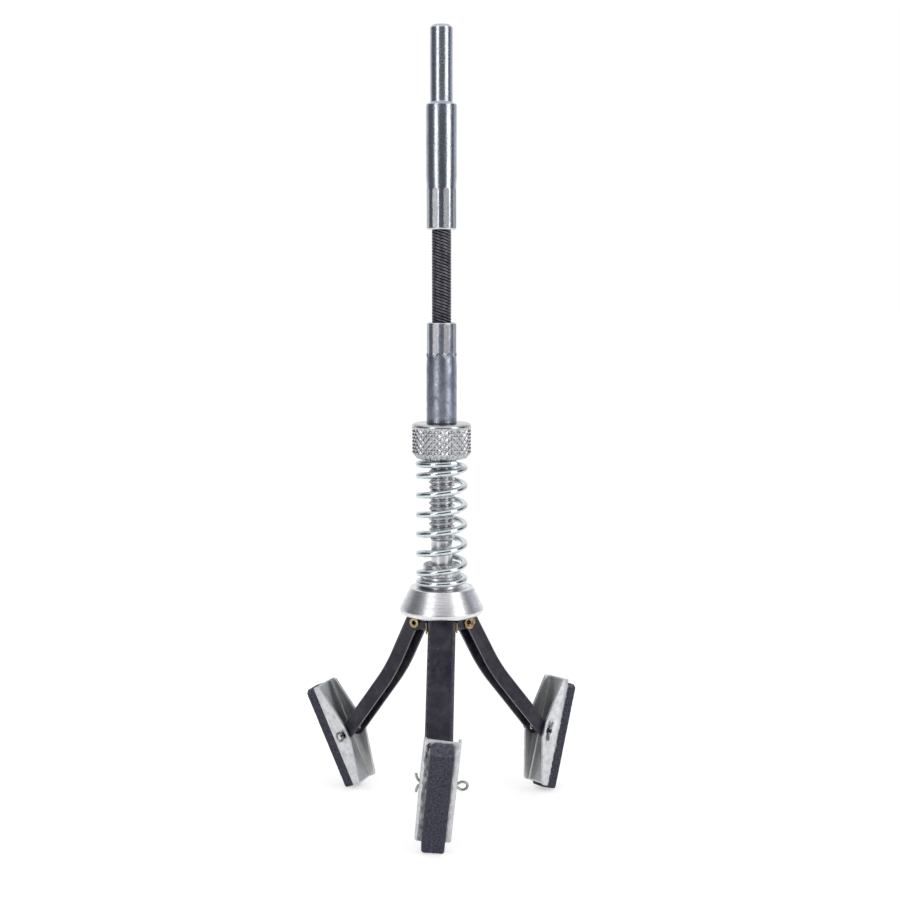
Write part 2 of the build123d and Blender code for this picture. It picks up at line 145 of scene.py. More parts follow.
class Tree:
    """A node tree under construction."""

    noise_roughness = 0.6

    def __init__(self, tree: NodeTree) -> None:
        """Wrap a node tree and empty it.

        Args:
            tree: The material's, world's or group's node tree.
        """
        self.tree = tree
        self.tree.nodes.clear()

    def add(self, kind: str, inputs: dict | None = None, **settings: object) -> Node:
        """Add a node.

        Args:
            kind: The node's type name, without the leading ShaderNode.
            inputs: Values or output sockets for its inputs, by name or index.
            settings: Properties of the node.

        Returns:
            The new node.
        """
        node = self.tree.nodes.new(f"ShaderNode{kind}")
        for name, value in settings.items():
            setattr(node, name, value)
        for key, value in (inputs or {}).items():
            if isinstance(value, NodeSocket):
                self.tree.links.new(value, node.inputs[key])
            else:
                node.inputs[key].default_value = value
        return node

    def place(self) -> NodeSocket:
        """Add object coordinates for the patterns."""
        return self.add("TexCoord").outputs["Object"]

    def math(self, operation: str, *values: object) -> NodeSocket:
        """Add a math node and return its result."""
        return self.add("Math", dict(enumerate(values)), operation=operation).outputs[0]

    def noise(self, vector: object, scale: object, detail: float) -> NodeSocket:
        """Add a noise texture and return its value."""
        inputs = {"Vector": vector, "Scale": scale, "Detail": detail}
        return self.add("TexNoise", {**inputs, "Roughness": self.noise_roughness}).outputs["Fac"]

    def ramp(self, value: object, low: object, high: object, start: float = 0.0,
             end: float = 1.0) -> NodeSocket:
        """Map a value from low..high to start..end, clamped.

        Args:
            value: The socket to map.
            low: The value that gives start.
            high: The value that gives end.
            start: Result at low.
            end: Result at high.

        Returns:
            The mapped value.
        """
        inputs = {"Value": value, "From Min": low, "From Max": high, "To Min": start, "To Max": end}
        return self.add("MapRange", inputs, clamp=True).outputs["Result"]

    def gloss(self, mask: NodeSocket, rough: float, spread: float) -> NodeSocket:
        """Add a roughness that grows with a mask."""
        return self.ramp(mask, 0.0, 1.0, rough, rough + spread)

    def blend(self, factor: object, first: object, second: object) -> NodeSocket:
        """Mix two colours, which are inputs 6 and 7 of a node whose colour result is output 2."""
        return self.add("Mix", {0: factor, 6: first, 7: second}, data_type="RGBA").outputs[2]

    def bump(self, height: object, distance: float, strength: float = 1.0,
             normal: NodeSocket | None = None) -> NodeSocket:
        """Add a bump of a real depth.

        Args:
            height: Height pattern from 0 to 1.
            distance: Depth of the pattern in metres.
            strength: How much of it shows.
            normal: An earlier bump to build on.

        Returns:
            The bumped normal.
        """
        inputs = {"Height": height, "Distance": distance, "Strength": strength}
        if normal is not None:
            inputs["Normal"] = normal
        return self.add("Bump", inputs).outputs[0]

    def group(self, tree: NodeTree, **inputs: object) -> NodeSocket:
        """Place a node group with its input values and return its result."""
        return self.add("Group", inputs, node_tree=tree).outputs[0]

    def surface(self, tone: object, gloss: object, **others: object) -> Node:
        """Add a surface shader.

        Args:
            tone: Its base colour.
            gloss: Its roughness.
            others: Further inputs, by name with underscores for spaces.

        Returns:
            The shader node.
        """
        named = {name.replace("_", " "): value for name, value in others.items()}
        return self.add("BsdfPrincipled", {"Base Color": tone, "Roughness": gloss, **named})

    def seen(self) -> NodeSocket:
        """Add a switch: 1 for what is seen, mirrored or seen through, 0 for what lights.

        Returns:
            The switch.
        """
        path = self.add("LightPath").outputs
        looked_at = self.math("MAXIMUM", path["Is Camera Ray"], path["Is Glossy Ray"])
        return self.math("MAXIMUM", looked_at, path["Is Transmission Ray"])


Pattern = Callable[[Tree, Mapping[str, NodeSocket]], NodeSocket]


def shader_group(name: str, inputs: Mapping[str, Domain], output: str, pattern: Pattern) -> NodeTree:
    """Make a shader node group with one result.

    Args:
        name: The group's name.
        inputs: Names and kinds of its inputs.
        output: Name of its result.
        pattern: Builds its nodes from the tree and the input sockets, and returns the result.

    Returns:
        The finished group.
    """
    made = bpy.data.node_groups.new(name, "ShaderNodeTree")
    for label, kind in inputs.items():
        made.interface.new_socket(name=label, in_out="INPUT", socket_type=kind.value)
    made.interface.new_socket(name=output, in_out="OUTPUT", socket_type=Domain.FLOAT.value)
    tree = Tree(made)
    given = made.nodes.new("NodeGroupInput").outputs
    result = made.nodes.new("NodeGroupOutput").inputs[output]
    made.links.new(pattern(tree, given), result)
    return made


# Noise settings of the three patterns.
GRAIN_DETAIL = 3.0
RING_DRAW = 0.12
EDGE_SPOT_SCALE = 900.0
EDGE_SPOT_DETAIL = 5.0
EDGE_SPOT_BAND = (-0.15, 0.1)


def grain_pattern(tree: Tree, given: Mapping[str, NodeSocket]) -> NodeSocket:
    """Fine even grain: the pits of a plated or blasted surface."""
    pattern = tree.noise(given["Vector"], given["Scale"], GRAIN_DETAIL)
    return tree.ramp(pattern, given["Low"], given["High"])


def ring_pattern(tree: Tree, given: Mapping[str, NodeSocket]) -> NodeSocket:
    """Lathe marks: broken rings round the axis, fine along the turned surface.

    Args:
        tree: The group's tree.
        given: The group's input sockets.

    Returns:
        The height of the marks.
    """
    parts = tree.add("SeparateXYZ", {0: given["Vector"]}).outputs
    flat = tree.add("CombineXYZ", {"X": parts["X"], "Y": parts["Y"]}).outputs[0]
    radius = tree.add("VectorMath", {0: flat}, operation="LENGTH").outputs["Value"]
    along = tree.math("SUBTRACT", parts["Z"], radius)
    drawn = tree.add("VectorMath", {0: flat, "Scale": RING_DRAW}, operation="SCALE").outputs[0]
    sides = tree.add("SeparateXYZ", {0: drawn}).outputs
    spot = tree.add("CombineXYZ", {"X": sides["X"], "Y": sides["Y"], "Z": along}).outputs[0]
    return tree.noise(spot, given["Scale"], GRAIN_DETAIL)


def edge_spot_pattern(tree: Tree, given: Mapping[str, NodeSocket]) -> NodeSocket:
    """Broken spots along the edges that carry the edge attribute: painted highlights on the arms and
    holders, and a lighter top end on the stones.

    Args:
        tree: The group's tree.
        given: The group's input sockets.

    Returns:
        The mask of the spots.
    """
    edge = tree.add("Attribute", attribute_name="edge").outputs["Fac"]
    breaks = tree.noise(given["Vector"], EDGE_SPOT_SCALE, EDGE_SPOT_DETAIL)
    limit = tree.math("SUBTRACT", 1.0, given["Amount"])
    edge_marks = tree.ramp(tree.math("SUBTRACT", breaks, limit), *EDGE_SPOT_BAND)
    return tree.math("MULTIPLY", edge_marks, edge)


PLACED = {"Vector": Domain.VECTOR}
SCALED = {**PLACED, "Scale": Domain.FLOAT}
BANDED = {**SCALED, "Low": Domain.FLOAT, "High": Domain.FLOAT}
GRAIN = shader_group("fine_grain", BANDED, "Mask", grain_pattern)
RINGS = shader_group("turned_rings", SCALED, "Height", ring_pattern)
EDGE_SPOTS = shader_group("edge_spots", {**PLACED, "Amount": Domain.FLOAT}, "Mask", edge_spot_pattern)


@dataclass(frozen=True)
class Grain:
    """A pattern of grains: its scale, and the band of its noise that becomes 0 to 1."""

    scale: float
    low: float
    high: float

    def mask(self, tree: Tree, place: NodeSocket) -> NodeSocket:
        """Build the pattern at a place."""
        return tree.group(GRAIN, Vector=place, Scale=self.scale, Low=self.low, High=self.high)


def new_material(name: str, shade: Callable[[Tree], Node]) -> Material:
    """Make a material.

    Args:
        name: Its name.
        shade: Builds its shader in a tree.

    Returns:
        The new material.
    """
    made = bpy.data.materials.new(name)
    made.use_nodes = True
    tree = Tree(made.node_tree)
    tree.add("OutputMaterial", {"Surface": shade(tree).outputs[0]})
    return made


@dataclass(frozen=True)
class Finish:
    """One finish of the hone; slot is the record's material slot."""

    name: str
    slot: str

    def material(self) -> Material:
        """Return this finish's material, made on first use."""
        name = f"skin_{self.name}"
        return bpy.data.materials.get(name) or new_material(name, self.shade)

    def shade(self, tree: Tree) -> Node:
        """Build the shader of this finish."""
        raise NotImplementedError


@dataclass(frozen=True)
class PlatedMetal(Finish):
    """Turned or drawn metal with a plated, slightly grainy skin."""

    base: Colour
    dark: Colour
    rough: float
    rough_spread: float
    grain_scale: float
    grain_depth: float
    blotch_scale: float = 160.0
    ring_scale: float = 0.0
    ring_depth: float = 0.0
    # Edge light paints highlights, in broken spots, along the edges that carry the edge attribute.
    edge_light: float = 0.0
    edge_amount: float = 0.6
    grain_band: Pair = (0.35, 0.7)
    blotch_band: Pair = (0.4, 0.75)
    blotch_share: float = 0.6
    streak_band: Pair = (0.35, 0.7)
    streak_calm: float = 0.5
    edge_highlight: Colour = colour(0.95, 0.95, 0.95)
    edge_highlight_rough: float = 0.3

    def shade(self, tree: Tree) -> Node:
        """Build a metal with grain, lathe marks, uneven gloss and painted highlights along marked edges.

        Args:
            tree: The tree to build it in.

        Returns:
            The shader node.
        """
        place = tree.place()
        grain = Grain(self.grain_scale, *self.grain_band).mask(tree, place)
        blotch = Grain(self.blotch_scale, *self.blotch_band).mask(tree, place)
        mixed = tree.math("MULTIPLY", blotch, self.blotch_share)
        shade = tree.math("ADD", mixed, tree.math("MULTIPLY", grain, 1 - self.blotch_share))
        normal = tree.bump(grain, self.grain_depth)
        if self.ring_depth:
            rings = tree.group(RINGS, Vector=place, Scale=self.ring_scale)
            normal = tree.bump(rings, self.ring_depth, normal=normal)
            calm = tree.math("MULTIPLY", shade, self.streak_calm)
            shade = tree.math("ADD", calm, tree.ramp(rings, *self.streak_band))
        tone = tree.blend(shade, self.base, self.dark)
        gloss = tree.gloss(shade, self.rough, self.rough_spread)
        # Painted highlights along the marked edges.
        if self.edge_light:
            edge_marks = tree.group(EDGE_SPOTS, Vector=place, Amount=self.edge_amount)
            lit = tree.math("MULTIPLY", edge_marks, self.edge_light)
            tone = tree.blend(lit, tone, self.edge_highlight)
            gloss = tree.math("ADD", gloss, tree.math("MULTIPLY", lit, self.edge_highlight_rough))
        return tree.surface(tone, gloss, Metallic=1.0, Normal=normal)


@dataclass(frozen=True)
class BlackCoat(Finish):
    """Black satin coat on pressed steel, with painted highlights along its edges."""

    base: Colour = colour(0.009, 0.007, 0.021)
    edge_highlight: Colour = colour(0.4, 0.4, 0.43)
    rough: float = 0.34
    rough_spread: float = 0.16
    edge_highlight_amount: float = 0.55
    gleam: float = 0.35
    texture: Grain = Grain(4200.0, 0.3, 0.75)
    texture_depth: float = mm(0.006)
    texture_strength: float = 0.8
    scuffs: Grain = Grain(320.0, 0.42, 0.8)
    scuff_light: float = 0.1
    specks: Grain = Grain(1100.0, 0.71, 0.76)
    speck_light: float = 0.5

    def shade(self, tree: Tree) -> Node:
        """Build a coat with fine texture, faint scuffs, specks and painted edge highlights.

        Args:
            tree: The tree to build it in.

        Returns:
            The shader node.
        """
        place = tree.place()
        scuff = self.scuffs.mask(tree, place)
        speck = tree.math("MULTIPLY", self.specks.mask(tree, place), self.speck_light)
        # Painted highlights: the marked edges are lightened in broken spots.
        edge_marks = tree.group(EDGE_SPOTS, Vector=place, Amount=self.edge_highlight_amount)
        light = tree.math("ADD", tree.math("MULTIPLY", scuff, self.scuff_light), speck)
        tone = tree.blend(tree.math("MAXIMUM", light, edge_marks), self.base, self.edge_highlight)
        gloss = tree.gloss(scuff, self.rough, self.rough_spread)
        texture = self.texture.mask(tree, place)
        normal = tree.bump(texture, self.texture_depth, self.texture_strength)
        return tree.surface(tone, gloss, Normal=normal, Specular_IOR_Level=self.gleam)


@dataclass(frozen=True)
class WoundWire(Finish):
    """Blackened spring wire, oily, rubbed a little in random patches."""

    base: Colour = colour(0.09, 0.085, 0.105)
    rubbed: Colour = colour(0.19, 0.185, 0.21)
    rubs: Grain = Grain(700.0, 0.4, 0.7)
    rough: float = 0.36
    rough_spread: float = 0.08

    def shade(self, tree: Tree) -> Node:
        """Build a dark metal finish.

        Args:
            tree: The tree to build it in.

        Returns:
            The shader node.
        """
        rub = self.rubs.mask(tree, tree.place())
        gloss = tree.gloss(rub, self.rough, self.rough_spread)
        return tree.surface(tree.blend(rub, self.base, self.rubbed), gloss, Metallic=1.0)


@dataclass(frozen=True)
class StoneGrit(Finish):
    """Dark abrasive: dense fine grains in a dull bond."""

    bond: Colour = colour(0.017, 0.017, 0.027)
    grain: Colour = colour(0.114, 0.118, 0.157)
    clump: Colour = colour(0.03, 0.03, 0.045)
    glint: Colour = colour(0.3, 0.3, 0.34)
    lighter_top: Colour = colour(0.2, 0.205, 0.26)
    grains: Grain = Grain(2900.0, 0.34, 0.66)
    clumps: Grain = Grain(1400.0, 0.3, 0.7)
    glints: Grain = Grain(1500.0, 0.72, 0.76)
    clump_share: float = 0.18
    clump_height: float = 0.4
    lighter_top_amount: float = 0.45
    relief: float = mm(0.04)
    relief_strength: float = 0.7
    rough: float = 0.6
    rough_spread: float = 0.25
    gleam: float = 0.12

    def shade(self, tree: Tree) -> Node:
        """Build grain colour, sparkle and a rough relief.

        Args:
            tree: The tree to build it in.

        Returns:
            The shader node.
        """
        place = tree.place()
        fine = self.grains.mask(tree, place)
        coarse = self.clumps.mask(tree, place)
        tone = tree.blend(fine, self.bond, self.grain)
        tone = tree.blend(tree.math("MULTIPLY", coarse, self.clump_share), tone, self.clump)
        tone = tree.blend(self.glints.mask(tree, place), tone, self.glint)
        # The top end, marked by the stone, is made lighter in broken spots.
        lighter_top_marks = tree.group(EDGE_SPOTS, Vector=place, Amount=self.lighter_top_amount)
        tone = tree.blend(lighter_top_marks, tone, self.lighter_top)
        height = tree.math("ADD", fine, tree.math("MULTIPLY", coarse, self.clump_height))
        normal = tree.bump(height, self.relief, self.relief_strength)
        gloss = tree.gloss(fine, self.rough, self.rough_spread)
        return tree.surface(tone, gloss, Normal=normal, Specular_IOR_Level=self.gleam)


@dataclass(frozen=True)
class Adhesive(Finish):
    """The grey glue squeezed out beside the stones."""

    milky: Colour = colour(0.52, 0.53, 0.56)
    grey: Colour = colour(0.2, 0.21, 0.24)
    crevice_shade: Colour = colour(0.02, 0.02, 0.025)
    lumps: Grain = Grain(900.0, 0.35, 0.65)
    crevice_shade_level: float = 0.7
    crevice_shade_edge: float = 0.04
    crevice_shade_scale: float = 620.0
    draw: float = 0.3
    relief: float = mm(0.15)
    relief_strength: float = 0.9
    rough: float = 0.2

    def shade(self, tree: Tree) -> Node:
        """Build a glue drawn out along the stone, with thin near-black streaks of painted crevice shade.

        Args:
            tree: The tree to build it in.

        Returns:
            The shader node.
        """
        drawn = tree.add("Mapping", {"Vector": tree.place(), "Scale": (1.0, 1.0, self.draw)})
        place = drawn.outputs[0]
        lump = self.lumps.mask(tree, place)
        # Painted shade: near-black streaks stand for the shade in the glue's crevices.
        crevice_shade_mask = Grain(self.crevice_shade_scale, self.crevice_shade_level, self.crevice_shade_level + self.crevice_shade_edge).mask(tree, place)
        tone = tree.blend(crevice_shade_mask, tree.blend(lump, self.milky, self.grey), self.crevice_shade)
        normal = tree.bump(lump, self.relief, self.relief_strength)
        return tree.surface(tone, self.rough, Normal=normal)


BRIGHT_ZINC = PlatedMetal(
    "bright_zinc", "zinc_plated_steel", colour(0.6, 0.64, 0.7), colour(0.34, 0.385, 0.47),
    rough=0.22, rough_spread=0.12, grain_scale=1900.0, grain_depth=mm(0.011),
)
DULL_ZINC = PlatedMetal(
    "dull_zinc", "zinc_plated_steel", colour(0.42, 0.46, 0.52), colour(0.11, 0.12, 0.2),
    rough=0.32, rough_spread=0.14, grain_scale=1200.0, grain_depth=mm(0.03), blotch_scale=420.0,
)
# Also the darker finish of the thread's roots, as painted shade.
CRIMPED_ZINC = PlatedMetal(
    "crimped_zinc", "zinc_plated_steel", colour(0.5, 0.51, 0.53), colour(0.38, 0.39, 0.42),
    rough=0.22, rough_spread=0.08, grain_scale=1700.0, grain_depth=mm(0.004), blotch_scale=300.0,
)
# Also the lighter finish of the crimp mouths' rims, as a painted highlight.
THREAD_ZINC = PlatedMetal(
    "thread_zinc", "zinc_plated_steel", colour(0.76, 0.77, 0.79), colour(0.54, 0.56, 0.58),
    rough=0.27, rough_spread=0.1, grain_scale=1500.0, grain_depth=mm(0.001), blotch_scale=300.0,
)
NUT_ZINC = PlatedMetal(
    "nut_zinc", "nut_steel", colour(0.56, 0.57, 0.58), colour(0.28, 0.29, 0.32),
    rough=0.16, rough_spread=0.14, grain_scale=1700.0, grain_depth=mm(0.006),
)
SPRING_ZINC = PlatedMetal(
    "spring_zinc", "spring_wire", colour(0.66, 0.7, 0.72), colour(0.5, 0.58, 0.6),
    rough=0.15, rough_spread=0.08, grain_scale=1800.0, grain_depth=mm(0.002), blotch_scale=90.0,
)
TURNED_ALUMINIUM = PlatedMetal(
    "turned_aluminium", "turned_aluminium", colour(0.93, 0.93, 0.94), colour(0.66, 0.66, 0.7),
    rough=0.28, rough_spread=0.12, grain_scale=1500.0, grain_depth=mm(0.006),
    ring_scale=1900.0, ring_depth=mm(0.025),
)
SINTERED = PlatedMetal(
    "sintered_bush", "bush_steel", colour(0.7, 0.7, 0.71), colour(0.16, 0.16, 0.17),
    rough=0.22, rough_spread=0.2, grain_scale=1200.0, grain_depth=mm(0.06), blotch_scale=600.0,
)
# The holders' edge light is a painted highlight along their rounded edges and inner bends.
HOLDER_MATT = PlatedMetal(
    "holder_matt", "holder_zinc", colour(0.68, 0.69, 0.71), colour(0.44, 0.45, 0.47),
    rough=0.42, rough_spread=0.16, grain_scale=1400.0, grain_depth=mm(0.02), blotch_scale=600.0,
    edge_light=0.4,
)
HOLDER_GLOSS = PlatedMetal(
    "holder_gloss", "holder_zinc", colour(0.635, 0.66, 0.69), colour(0.44, 0.42, 0.38),
    rough=0.28, rough_spread=0.12, grain_scale=1500.0, grain_depth=mm(0.006), blotch_scale=130.0,
    edge_light=1.0, edge_amount=0.95,
)
BRASS = PlatedMetal(
    "rivet_brass", "brass", colour(0.56, 0.42, 0.24), colour(0.2, 0.13, 0.08),
    rough=0.28, rough_spread=0.25, grain_scale=1300.0, grain_depth=mm(0.02), blotch_scale=700.0,
)
YOKE_STEEL = PlatedMetal(
    "yoke_steel", "yoke_steel", colour(0.12, 0.12, 0.13), colour(0.05, 0.05, 0.055),
    rough=0.45, rough_spread=0.2, grain_scale=2000.0, grain_depth=mm(0.01),
)
COTTER_WIRE = PlatedMetal(
    "cotter_wire", "cotter_steel", colour(0.44, 0.44, 0.43), colour(0.18, 0.18, 0.18),
    rough=0.2, rough_spread=0.15, grain_scale=1800.0, grain_depth=mm(0.01),
)
BLACK_COAT = BlackCoat("black_coat", "arm_black")
FLEX_WIRE = WoundWire("flex_wire", "flex_wire")
STONE_GRIT = StoneGrit("stone_grit", "stone_grit")
GLUE_BEAD = Adhesive("glue_bead", "stone_grit")
GLUE_SMEAR = Adhesive(
    "glue_smear", "stone_grit", milky=colour(0.5, 0.51, 0.54), grey=colour(0.1, 0.105, 0.12),
    crevice_shade_level=0.58,
)


def rounded(points: Sequence[tuple[float, ...]], steps: int = 5) -> Outline:
    """Outline of a turned shape with its corners rounded.

    Args:
        points: Radius, height and, where the corner is round, its corner radius.
        steps: Straight pieces in each rounded corner.

    Returns:
        Radius and height of each outline point.
    """
    outline = []
    for index, point in enumerate(points):
        corner = Vector(point[:2])
        if len(point) < 3 or index in (0, len(points) - 1):
            outline.append(tuple(corner))
            continue
        radius = point[2]
        back = (Vector(points[index - 1][:2]) - corner).normalized()
        ahead = (Vector(points[index + 1][:2]) - corner).normalized()
        half = back.angle(ahead) / 2
        middle = corner + (back + ahead).normalized() * radius / sin(half)
        start = corner + back * radius / tan(half) - middle
        end = corner + ahead * radius / tan(half) - middle
        for step in range(steps + 1):
            spoke = start.slerp(end, step / steps).normalized() * radius
            outline.append(tuple(middle + spoke))
    return outline


def with_rows(outline: Outline, low: float, high: float, row: float, inner: float = 0.0) -> Outline:
    """Cut the runs of an outline into short rows between two heights.

    Args:
        outline: Radius and height of each point.
        low: Lowest height that gets rows.
        high: Highest height that gets rows.
        row: Length of a row.
        inner: Runs that start or end nearer to the axis than this are left whole.

    Returns:
        The outline with the added points.
    """
    cut = [outline[0]]
    for start, end in zip(outline, outline[1:]):
        count = int(hypot(end[0] - start[0], end[1] - start[1]) / row)
        if min(start[0], end[0]) < inner:
            count = 0
        for step in range(1, count):
            share = step / count
            height = start[1] + (end[1] - start[1]) * share
            if low <= height <= high:
                cut.append((start[0] + (end[0] - start[0]) * share, height))
        cut.append(end)
    return cut


def clean(bm: BMesh, distance: float) -> None:
    """Join the points nearer than a distance and turn all faces outwards."""
    bmesh.ops.remove_doubles(bm, verts=bm.verts, dist=distance)
    bmesh.ops.recalc_face_normals(bm, faces=bm.faces)


def sweep(bm: BMesh, geometry: list, angle: float, steps: int, rise: float = 0.0,
          closed: bool = False) -> list:
    """Sweep geometry about the Z axis.

    Args:
        bm: The mesh.
        geometry: The parts that are swept.
        angle: The whole angle, in radians.
        steps: Number of steps.
        rise: How far each step climbs.
        closed: Whether the last step meets the first.

    Returns:
        The geometry of the last step.
    """
    made = bmesh.ops.spin(
        bm, geom=geometry, cent=(0, 0, 0), axis=(0, 0, 1), angle=angle, steps=steps,
        dvec=(0, 0, rise), use_merge=closed,
    )
    return made["geom_last"]


def lathe(outline: Outline, segments: int) -> BMesh:
    """Turn an outline about the Z axis.

    Args:
        outline: Radius and height of each point.
        segments: Steps round the axis.

    Returns:
        The turned mesh.
    """
    bm = bmesh.new()
    corners = [bm.verts.new((radius, 0.0, height)) for radius, height in outline]
    for pair in zip(corners, corners[1:]):
        bm.edges.new(pair)
    sweep(bm, bm.verts[:] + bm.edges[:], tau, segments, closed=True)
    clean(bm, SEAM)
    return bm


def wire_disc(bm: BMesh, angle: float, distance: float, height: float, wire: float,
              sides: int) -> list[BMFace]:
    """Add a disc that stands across a winding, to be swept along it.

    Args:
        bm: The mesh.
        angle: Its angle about the Z axis, in radians.
        distance: Distance of its middle from the axis.
        height: Height of its middle.
        wire: Its radius.
        sides: Its number of sides.

    Returns:
        The disc's faces.
    """
    spot = Matrix.Rotation(angle, 4, "Z") @ Matrix.Translation((distance, 0, height))
    spot @= Matrix.Rotation(pi / 2, 4, "X")
    ring = bmesh.ops.create_circle(bm, cap_ends=True, segments=sides, radius=wire, matrix=spot)
    return list({face for vert in ring["verts"] for face in vert.link_faces})


def off_axis(point: Vector) -> float:
    """Distance of a point from the Z axis."""
    return hypot(point.x, point.y)


def reshape(bm: BMesh, rule: Callable[[float, float, float], float]) -> None:
    """Move each vertex of a turned mesh in or out.

    Args:
        bm: The mesh.
        rule: Gives the new radius from the radius, the angle in turns and the height.
    """
    for vert in bm.verts:
        radius = off_axis(vert.co)
        if radius < ON_AXIS:
            continue
        share = rule(radius, atan2(vert.co.y, vert.co.x) / tau, vert.co.z) / radius
        vert.co.x *= share
        vert.co.y *= share


def smooth_step(value: float) -> float:
    """Ease from 0 to 1, clamped."""
    value = min(max(value, 0.0), 1.0)
    return value * value * (3 - 2 * value)


def merged_copy(node: str) -> BMesh:
    """Copy a CAD node with its loose triangles joined and its flat faces whole.

    Args:
        node: The node's name.

    Returns:
        The copy.
    """
    bm = bmesh.new()
    bm.from_mesh(frame["nodes"][node].data)
    bmesh.ops.remove_doubles(bm, verts=bm.verts, dist=WELD)
    bmesh.ops.dissolve_limit(bm, angle_limit=radians(FLAT_TURN), verts=bm.verts, edges=bm.edges)
    return bm


def edge_layer(bm: BMesh) -> BMLayerItem:
    """The face attribute edge, which the edge spot pattern reads for painted highlights and for the stones'
    lighter top end.
    """
    layers = bm.faces.layers.float
    return layers.get("edge") or layers.new("edge")


def turns_by(edge: BMEdge, angle: float) -> bool:
    """Whether two faces meet at an edge and turn by more than an angle in degrees."""
    return len(edge.link_faces) == 2 and edge.calc_face_angle() > radians(angle)


def ends_past(edge: BMEdge, axis: int, limit: float) -> Iterator[bool]:
    """Whether each end of an edge lies past a limit along an axis."""
    return (vert.co[axis] > limit for vert in edge.verts)


def round_edges(bm: BMesh, edges: list[BMEdge], width: float, steps: int,
                clamp: bool = False) -> list[BMFace]:
    """Round some edges.

    Args:
        bm: The mesh.
        edges: The edges.
        width: Width of the round.
        steps: Steps across the round.
        clamp: Whether the rounds stop where they would meet.

    Returns:
        The faces of the rounds.
    """
    made = bmesh.ops.bevel(
        bm, geom=edges, offset=width, offset_type="OFFSET", segments=steps, profile=0.5,
        affect="EDGES", material=-1, clamp_overlap=clamp,
    )
    return made["faces"]


def soften_edges(bm: BMesh, width: float) -> None:
    """Round the sharp edges and mark the rounds with the face attribute edge.

    Args:
        bm: The mesh.
        width: Width of the round.
    """
    layer = edge_layer(bm)
    sharp = [edge for edge in bm.edges if turns_by(edge, SHARP_TURN)]
    for face in round_edges(bm, sharp, width, 2, clamp=True):
        face[layer] = 1.0


def block(low: Vector, high: Vector) -> BMesh:
    """Make a box between two corners.

    Args:
        low: The lowest corner.
        high: The highest corner.

    Returns:
        The box's mesh.
    """
    bm = bmesh.new()
    matrix = Matrix.Translation((low + high) / 2) @ Matrix.Diagonal((*(high - low), 1.0))
    bmesh.ops.create_cube(bm, size=1.0, matrix=matrix)
    return bm


def extent(spots: Sequence[Vector]) -> tuple[Vector, Vector]:
    """Lowest and highest corner of the box round some points.

    Args:
        spots: The points.

    Returns:
        The two corners.
    """
    low = Vector([min(spot[axis] for spot in spots) for axis in (X, Y, Z)])
    high = Vector([max(spot[axis] for spot in spots) for axis in (X, Y, Z)])
    return low, high


def cut_grid(bm: BMesh, cell: float) -> None:
    """Cut a mesh into rows along each axis.

    Args:
        bm: The mesh.
        cell: Least distance between two cuts.
    """
    for axis in (X, Y, Z):
        low, high = (corner[axis] for corner in extent([vert.co for vert in bm.verts]))
        rows = max(int((high - low) / cell), 1)
        normal = Vector((axis == X, axis == Y, axis == Z))
        for row in range(1, rows):
            spot = normal * (low + (high - low) * row / rows)
            geometry = bm.verts[:] + bm.edges[:] + bm.faces[:]
            bmesh.ops.bisect_plane(bm, geom=geometry, plane_co=spot, plane_no=normal)


def new_mesh(name: str, bm: BMesh) -> Mesh:
    """Turn a bmesh into a mesh and free it.

    Args:
        name: The mesh's name.
        bm: The bmesh.

    Returns:
        The new mesh.
    """
    mesh = bpy.data.meshes.new(name)
    bm.to_mesh(mesh)
    bm.free()
    return mesh


def new_object(name: str, data: ID) -> Object:
    """Make an object and link it to the scene.

    Args:
        name: The object's name.
        data: Its mesh, lamp or camera.

    Returns:
        The new object.
    """
    made = bpy.data.objects.new(name, data)
    bpy.context.scene.collection.objects.link(made)
    return made


@dataclass
class Piece:
    """One finished mesh piece of the hone."""

    name: str
    body: str
    finish: Finish
    replaces: tuple[str, ...] = ()
    sharp: float = 40.0
    extra: tuple[Finish, ...] = ()
    blended: bool = False

    def build(self, bm: BMesh) -> Object:
        """Turn a bmesh into an object that rides on its body.

        Args:
            bm: The finished mesh; it is freed.

        Returns:
            The new object.
        """
        for face in bm.faces:
            face.smooth = True
        mesh = new_mesh(self.name, bm)
        mesh.set_sharp_from_angle(angle=radians(self.sharp))
        made = new_object(self.name, mesh)
        for finish in (self.finish, *self.extra):
            mesh.materials.append(finish.material())
        if not self.blended:
            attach(made, self.body)
        if self.replaces:
            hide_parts(*self.replaces)
        log.info("%s: %d faces on %s", self.name, len(mesh.polygons), self.body)
        return made


